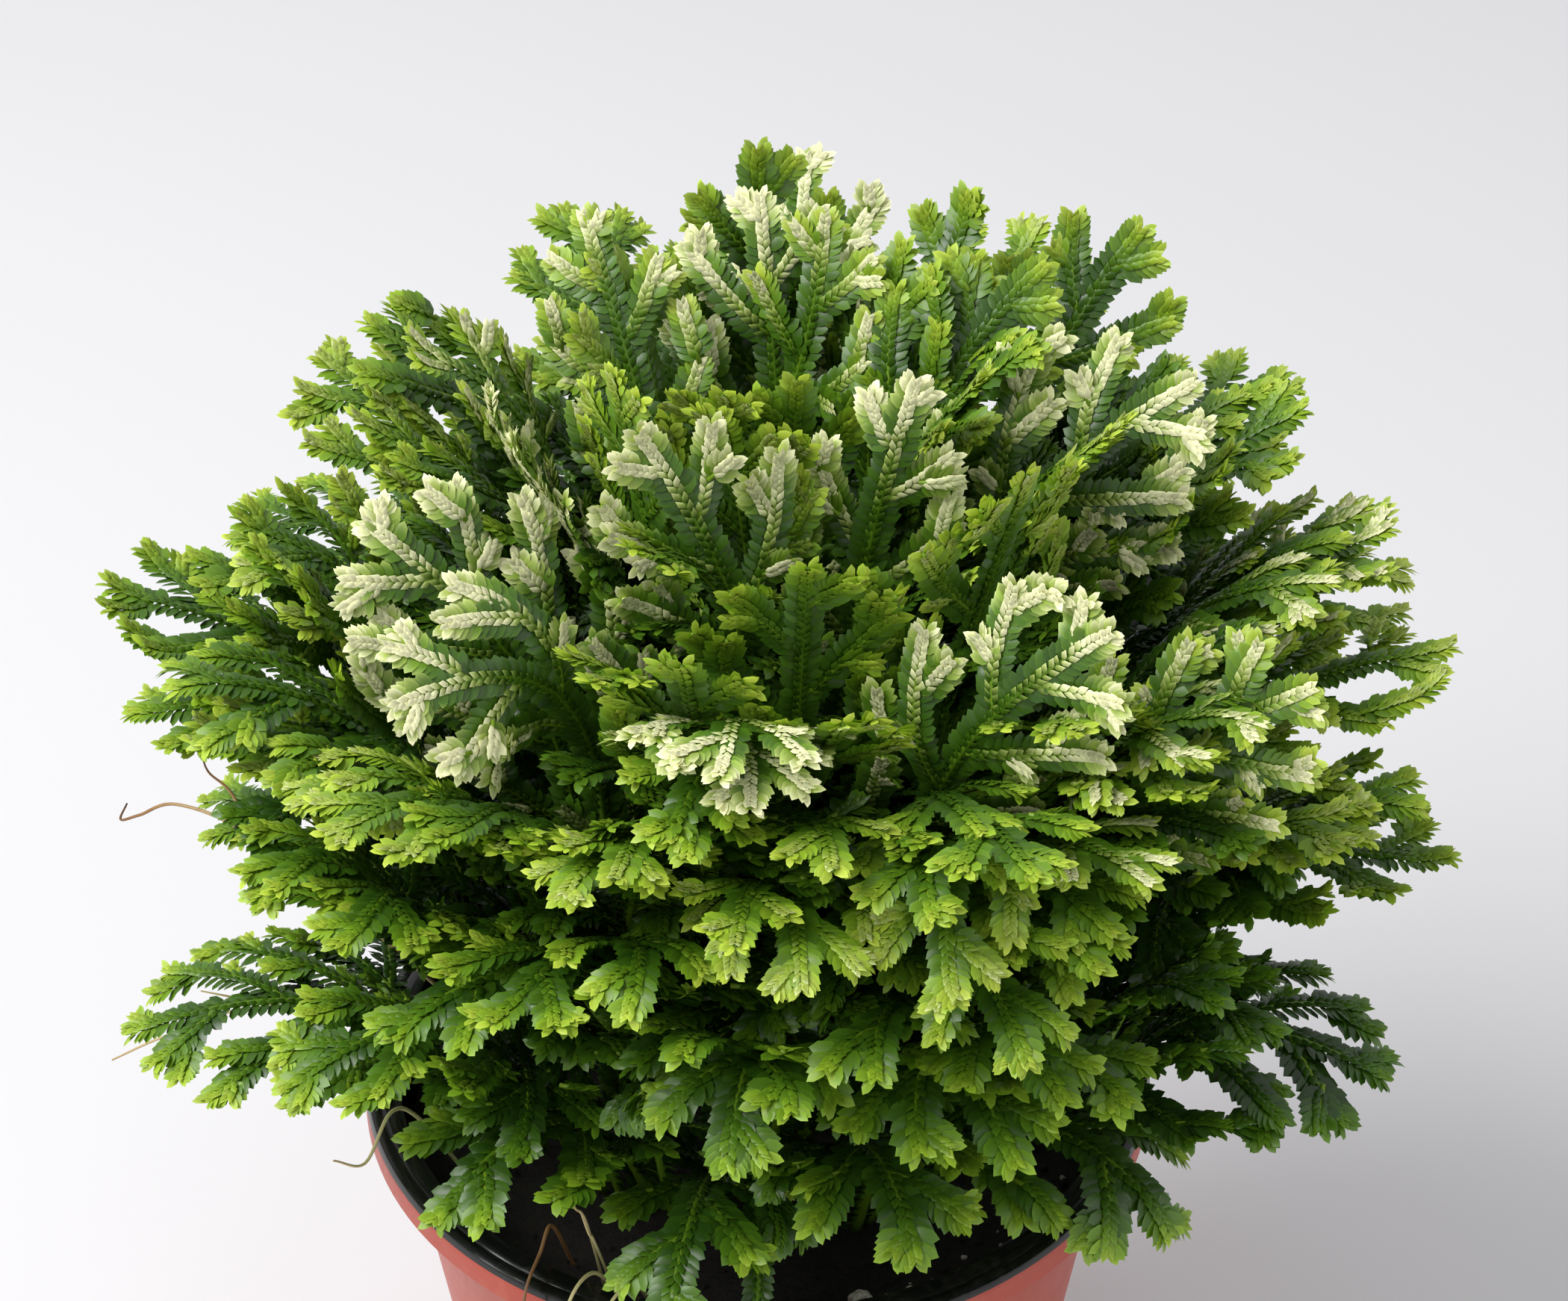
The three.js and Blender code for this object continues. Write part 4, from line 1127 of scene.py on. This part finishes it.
# Old fronds inside the mound, in the dark tint: their darkness is partly their own age and partly painted
# shade of the mound's inside. Two on each shoot: turn and drop from its tip, degrees, depth against its
# reach, and where on its stem they start.
INNER_FRONDS = [(17, 10, 0.78, 0.34), (26, 22, 0.60, 0.22)]
SIDE_FORK = 0.5

# How far up from its start a frond's stem is bare.
BARE_STEM, BARE_FORK, BARE_SIDE, BARE_INNER = 22.0, 8.0, 6.0, 5.0

moss_leaf = foliage()
midlines = {}
leafages = {}
owners = {}
for number, shoot in enumerate(SHOOTS):
    owner = shoot.parent or shoot.name
    owners[shoot.name] = owner
    midlines[shoot.name] = midline_of(shoot, midlines)
    leafage = leafages.setdefault(owner, Leafage())
    rng = np.random.default_rng(100 + number)
    bare = BARE_FORK if shoot.parent else BARE_STEM
    leaf_frond(leafage, rng, shoot, midlines[shoot.name], bare)
for number, frond in enumerate(SIDE_FRONDS):
    line = midline_of(frond, midlines, fork=SIDE_FORK)
    rng = np.random.default_rng(500 + number)
    leaf_frond(leafages[owners[frond.parent]], rng, frond, line, BARE_SIDE)
for number, shoot in enumerate(SHOOTS):
    for k, (turn, lower, depth, fork) in enumerate(INNER_FRONDS):
        tilt = shoot.tilt + lower
        azimuth = shoot.azimuth + (turn if (number + k) % 2 else -turn)
        inner = Frond(
            shoot.name, tilt, azimuth, shoot.reach * depth, tilt + 25, azimuth, UP, 0.33, 0.14,
            "dark", parent=shoot.name,
        )
        line = midline_of(inner, midlines, fork=fork)
        rng = np.random.default_rng(900 + 10 * number + k)
        leaf_frond(leafages[owners[shoot.name]], rng, inner, line, BARE_INNER)
for owner, leafage in leafages.items():
    mesh = leafage.mesh(f"frond_{owner}")
    frond = bpy.data.objects.new(f"frond_{owner}", mesh)
    bpy.context.scene.collection.objects.link(frond)
    mesh.materials.append(moss_leaf)
    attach(frond, "root")
    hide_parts(f"shoot_{owner}")

# ---------------------------------------------------------------------------------------------
# Aerial roots. Stiff strands thinner than a pin that leave the stems and feel for soil: pale straw
# when new, browning and curling at the ends as they dry. Each is a tapered cord, drawn as a curve.
# ---------------------------------------------------------------------------------------------
STRAND_RADIUS = 0.30

# Name, radius against the usual, ripeness at the foot and at the tip (0 pale green, 1 dry brown),
# and the route: azimuth, distance out from the rim's edge, height above the rim, in millimetres.
STRANDS = [
    ("left_curl", 1.0, 0.35, 1.0,
     [(270, -23, -2), (271, -3, 24), (268, 14, 39), (265, 25, 41), (264.4, 31, 38), (264, 34, 36.5),
      (263.6, 33, 39)]),
    ("left_curl", 0.8, 0.45, 1.0,
     [(269, 8, 34), (268, 14, 41), (266, 17, 45), (265, 20, 47), (264.5, 21, 49.5)]),
    ("left_straight", 1.0, 0.22, 0.5,
     [(275, -16, -8), (275, -2, 10), (275, 15, 14.5), (274, 28, 9), (274, 36, 5)]),
    ("left_straight", 0.8, 0.25, 0.35, [(275, 6, 13), (276, 15, 17), (276, 22, 19.5)]),
    ("rim_left", 1.1, 0.05, 0.35,
     [(288, -12.5, -10), (289, -6, 3), (292, -1.5, 7.5), (296, 4, 3.5), (297, 9, 7)]),
    ("front_brown", 1.0, 0.65, 0.92,
     [(322, -15, -10), (324, -9, 3), (326, -4, 3), (328, 3, 0), (328, 4, -18)]),
    ("front_pale", 1.0, 0.12, 0.4,
     [(336, -12, -10), (335, -4, 3), (334, 3, 0), (332, 4, -22)]),
    ("front_pale", 0.9, 0.1, 0.35,
     [(342, -12, -10), (341, -4, 3), (339, 3, 0), (338, 4, -18)]),
    ("front_pale", 0.7, 0.2, 0.6,
     [(331, -13, -9), (331.5, -8, 8), (331, -6, 12), (331.5, -5, 17)]),
    ("front_pale", 0.7, 0.15, 0.4,
     [(333, -13, -9), (333.5, -7, 6), (334, -5, 9), (334.5, -2, 16)]),
]


def by_rim(azimuth, outward, above):
    """A place by its azimuth, its distance out from the rim's edge and its height above the rim."""
    return toward(azimuth) * (RIM_RADIUS + outward * MM) + np.array([0, 0, POT_HEIGHT + above * MM])


def smooth_route(points, per_span=8):
    """A Catmull-Rom curve through the points."""
    known = np.array([2 * points[0] - points[1], *points, 2 * points[-1] - points[-2]])
    found = []
    for i in range(1, len(known) - 2):
        a, b, c, d = known[i - 1 : i + 3]
        for t in np.arange(per_span) / per_span:
            found.append(
                0.5 * (2 * b + (c - a) * t + (2 * a - 5 * b + 4 * c - d) * t**2
                       + (3 * b - a - 3 * c + d) * t**3)
            )
    return np.array([*found, points[-1]])


def draw_strand(thickness, ripe_foot, ripe_tip, route):
    """One strand: a round cord through its route, thinning to the tip."""
    bare_scene()
    line = smooth_route([by_rim(*at) for at in route])
    last = len(line) - 1
    bpy.ops.curve.primitive_nurbs_path_add(location=(0, 0, 0))
    cord = bpy.context.object
    cord.data.splines.clear()
    spline = cord.data.splines.new("POLY")
    spline.points.add(last)
    for i, at in enumerate(line):
        spline.points[i].co = (*at, 1)
        spline.points[i].radius = 1 - 0.55 * (i / last) ** 2
    cord.data.bevel_depth = STRAND_RADIUS * MM * thickness
    cord.data.bevel_resolution = 2
    cord.data.use_fill_caps = True
    bpy.ops.object.convert(target="MESH")
    strand = bpy.context.object
    spots = np.array([v.co for v in strand.data.vertices])
    nearest = np.argmin(np.linalg.norm(spots[:, None] - line[None], axis=2), axis=1)
    ripe = ripe_foot + (ripe_tip - ripe_foot) * (nearest / last) ** 1.6
    layer = strand.data.attributes.new("ripeness", "FLOAT", "POINT")
    layer.data.foreach_set("value", ripe.astype(np.float32))
    bpy.ops.object.shade_smooth()
    return strand


def dry_fibre():
    """Pale green to straw to dark brown by ripeness, uneven along the strand."""
    material, tree, shader = plain_material("dry_fibre", 0.5)
    ripe = node(tree, "ShaderNodeAttribute", attribute_name="ripeness").outputs["Fac"]
    uneven = stretch(tree, noise(tree, 500.0, 4.0), to_low=-0.12, to_high=0.12)
    colour = shade_along(
        tree, combine(tree, "ADD", ripe, uneven),
        (0.0, (0.50, 0.55, 0.20)),
        (0.3, (0.66, 0.54, 0.27)),
        (0.65, (0.33, 0.17, 0.06)),
        (1.0, (0.07, 0.025, 0.01)),
    )
    tree.links.new(colour, shader.inputs["Base Color"])
    return material


fibre = dry_fibre()
drawn = {}
for name, *strand in STRANDS:
    drawn.setdefault(name, []).append(draw_strand(*strand))
for name, (strand, *others) in drawn.items():
    take_up(strand, others)
    if others:
        bpy.ops.object.join()
    strand.name = f"strand_{name}"
    strand.data.materials.append(fibre)
    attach(strand, "root")
    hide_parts(f"root_{name}")

# ---------------------------------------------------------------------------------------------
# The trailing sprig. One young leafy stem that creeps over the rim at the front and hangs down
# the pot's side, with smaller leaves than a frond's and a few short twigs to either side.
# ---------------------------------------------------------------------------------------------
TRAIL = [(4, -36, -9), (2, -29, 5), (0, -18, 8), (0, -5, 5), (359, 4, -2), (358, 5, -26)]
TWIGS = [(12, -1), (22, 1), (34, -1), (46, 1), (56, -1)]  # place along the trail, and side
TWIG_LENGTH = 5.5

trail = smooth_route([by_rim(*at) for at in TRAIL], per_span=14) / MM
outward = np.broadcast_to(toward(0) + np.array([0, 0, 0.4]), trail.shape)
sprig_leaves = Leafage()
clothe(sprig_leaves, np.random.default_rng(71), trail, outward, "green", 0.0, 0.8)
for at, side in TWIGS:
    away = unit(trail[at + 1] - trail[at] + side * np.array([0.9, 0, 0]))
    twig = trail[at] + away * np.linspace(0, TWIG_LENGTH, 9)[:, None]
    rng = np.random.default_rng(at)
    clothe(sprig_leaves, rng, twig, outward[: len(twig)], "green", 0.0, 0.7)
sprig = bpy.data.objects.new("hanging_sprig", sprig_leaves.mesh("hanging_sprig"))
bpy.context.scene.collection.objects.link(sprig)
sprig.data.materials.append(moss_leaf)
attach(sprig, "root")
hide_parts("trailing_shoot")

# ---------------------------------------------------------------------------------------------
# Perlite. Puffed white mineral grains, pitted all over, that lie among the crumbs.
# ---------------------------------------------------------------------------------------------
GRAIN_RADIUS = 0.002
GRAIN_DENTS = 16
GRAINS = [(18, 11.5, 1), (27, 10.5, 0.8), (8, 10.5, 0.7)]  # azimuth, distance in from the rim, size


def puff_grain(azimuth, inset, size, seed):
    """A ball with dents pressed in all round and a gentle swell."""
    bare_scene()
    at = toward(azimuth) * (RIM_RADIUS - inset * MM)
    radius = GRAIN_RADIUS * size
    height = float(soil_height(at[0], at[1])) + radius + FOOT_GAP * MM
    bpy.ops.mesh.primitive_ico_sphere_add(subdivisions=4, radius=radius)
    grain = bpy.context.object
    dents = unit(np.random.default_rng(seed).normal(size=(GRAIN_DENTS, 3)))
    for v in grain.data.vertices:
        way = np.array(v.co) / radius
        hit = max(float(way @ dent) for dent in dents)
        v.co *= 1.0 - 0.16 * math.exp(-((1 - hit) / 0.05)) + 0.05 * math.sin(7 * way[0] + 5 * way[1])
    bpy.ops.transform.translate(value=(at[0], at[1], height))
    bpy.ops.object.transform_apply()
    bpy.ops.object.shade_smooth()
    return grain


for number, (azimuth, inset, size) in enumerate(GRAINS, 1):
    grain = puff_grain(azimuth, inset, size, 40 + number)
    grain.name = f"puffed_grain_{number}"
    grain.data.materials.append(mineral)
    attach(grain, "root")
    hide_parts(f"perlite_grain_{number}")

# ---------------------------------------------------------------------------------------------
# The scrap. A dead frond end, brown and brittle, rolled up into a half pipe on the rim at the left.
# ---------------------------------------------------------------------------------------------
SCRAP_AZIMUTH = 277
SCRAP_INSET = 2.6
SCRAP_WIDTH = 5.5
SCRAP_CURL = 2.0
SCRAP_THICKNESS = 0.35
SCRAP_TURN = 1.2 * math.pi
SCRAP_STEPS = 26


def roll_scrap():
    """A thin crumpled sheet bent round, with a torn edge."""
    bare_scene()
    bpy.ops.mesh.primitive_grid_add(x_subdivisions=SCRAP_STEPS, y_subdivisions=16, size=1)
    scrap = bpy.context.object
    scrap.name = "rolled_scrap"
    at = toward(SCRAP_AZIMUTH) * (RIM_RADIUS / MM - SCRAP_INSET)
    base = POT_HEIGHT / MM + SCRAP_CURL + FOOT_GAP
    torn = np.random.default_rng(9).normal(0, 0.05, 40)
    for v in scrap.data.vertices:
        round_it, along = v.co.x + 0.5, v.co.y
        angle = 0.15 * math.sin(9 * along) - round_it * SCRAP_TURN
        crumple = 0.22 * math.sin(23 * round_it + 6 * along)
        crumple += 0.18 * math.sin(31 * along - 9 * round_it)
        radius = SCRAP_CURL - SCRAP_THICKNESS + crumple * 0.8
        tear = torn[int(round_it * SCRAP_STEPS)] - 0.25 * (2 * round_it - 1) ** 2
        x = at[0] + radius * math.cos(angle)
        y = at[1] + along * SCRAP_WIDTH * (1 + tear)
        v.co = Vector((x, y, base + radius * math.sin(angle))) * MM
    sheet = scrap.modifiers.new("sheet", "SOLIDIFY")
    sheet.thickness = SCRAP_THICKNESS * MM
    bpy.ops.object.modifier_apply(modifier="sheet")
    bpy.ops.object.mode_set(mode="EDIT")
    face_outward()
    bpy.ops.object.shade_smooth_by_angle(angle=math.radians(40))
    return scrap


def dead_leaf():
    """Brittle brown leaf with straw-coloured veins."""
    material, tree, shader = plain_material("dead_leaf", 0.7)
    veins = noise(tree, 650.0, 6.0, Distortion=1.5)
    brown = shade_along(tree, veins, (0.35, (0.10, 0.045, 0.018)), (0.68, (0.50, 0.32, 0.15)))
    tree.links.new(brown, shader.inputs["Base Color"])
    emboss(tree, shader, veins, 0.5, 0.0004)
    return material


scrap = roll_scrap()
scrap.data.materials.append(dead_leaf())
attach(scrap, "root")
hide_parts("dry_scrap")

# ---------------------------------------------------------------------------------------------
# The studio: a plain pale floor, one large soft light at the upper left, a weaker one at the
# right, and the camera above the plant's front.
# ---------------------------------------------------------------------------------------------
FLOOR_SIZE = 8
LIT_AT = Vector((0, 0, 0.12))
CAMERA_AT = (0, -0.448, 0.487)
LOOKS_DOWN = 35.74
LEANS_OVER = -0.5


def lay_floor():
    bare_scene()
    bpy.ops.mesh.primitive_plane_add(size=FLOOR_SIZE, location=(0, 0, 0))
    floor = bpy.context.object
    floor.name = "floor"
    material, _, shader = plain_material("pale_floor", 0.9)
    shader.inputs["Base Color"].default_value = (0.82, 0.82, 0.83, 1)
    floor.data.materials.append(material)


def soft_light(name, place, size, power):
    """A round area light that shines at the plant."""
    lamp = bpy.data.lights.new(name, "AREA")
    lamp.shape = "DISK"
    lamp.size = size
    lamp.energy = power
    light = bpy.data.objects.new(name, lamp)
    bpy.context.scene.collection.objects.link(light)
    light.location = place
    light.rotation_euler = (LIT_AT - Vector(place)).to_track_quat("-Z", "Y").to_euler()


def light_room():
    soft_light("window_light", (-0.70, -0.25, 1.05), 0.9, 14)
    soft_light("bounce_light", (1.1, -0.9, 0.8), 1.2, 2)
    world = bpy.data.worlds.new("studio_air")
    world.use_nodes = True
    air = world.node_tree.nodes["Background"]
    air.inputs["Color"].default_value = (0.97, 0.97, 1.0, 1)
    air.inputs["Strength"].default_value = 0.56
    bpy.context.scene.world = world


def set_camera():
    lens = bpy.data.cameras.new("camera")
    lens.sensor_width = 36
    lens.lens = 93
    lens.clip_start = 0.01
    lens.clip_end = 20
    camera = bpy.data.objects.new("camera", lens)
    bpy.context.scene.collection.objects.link(camera)
    camera.location = CAMERA_AT
    camera.rotation_euler = (math.radians(90 - LOOKS_DOWN), 0, math.radians(LEANS_OVER))
    bpy.context.scene.camera = camera
    bpy.context.scene.view_settings.view_transform = "Standard"


lay_floor()
light_room()
set_camera()
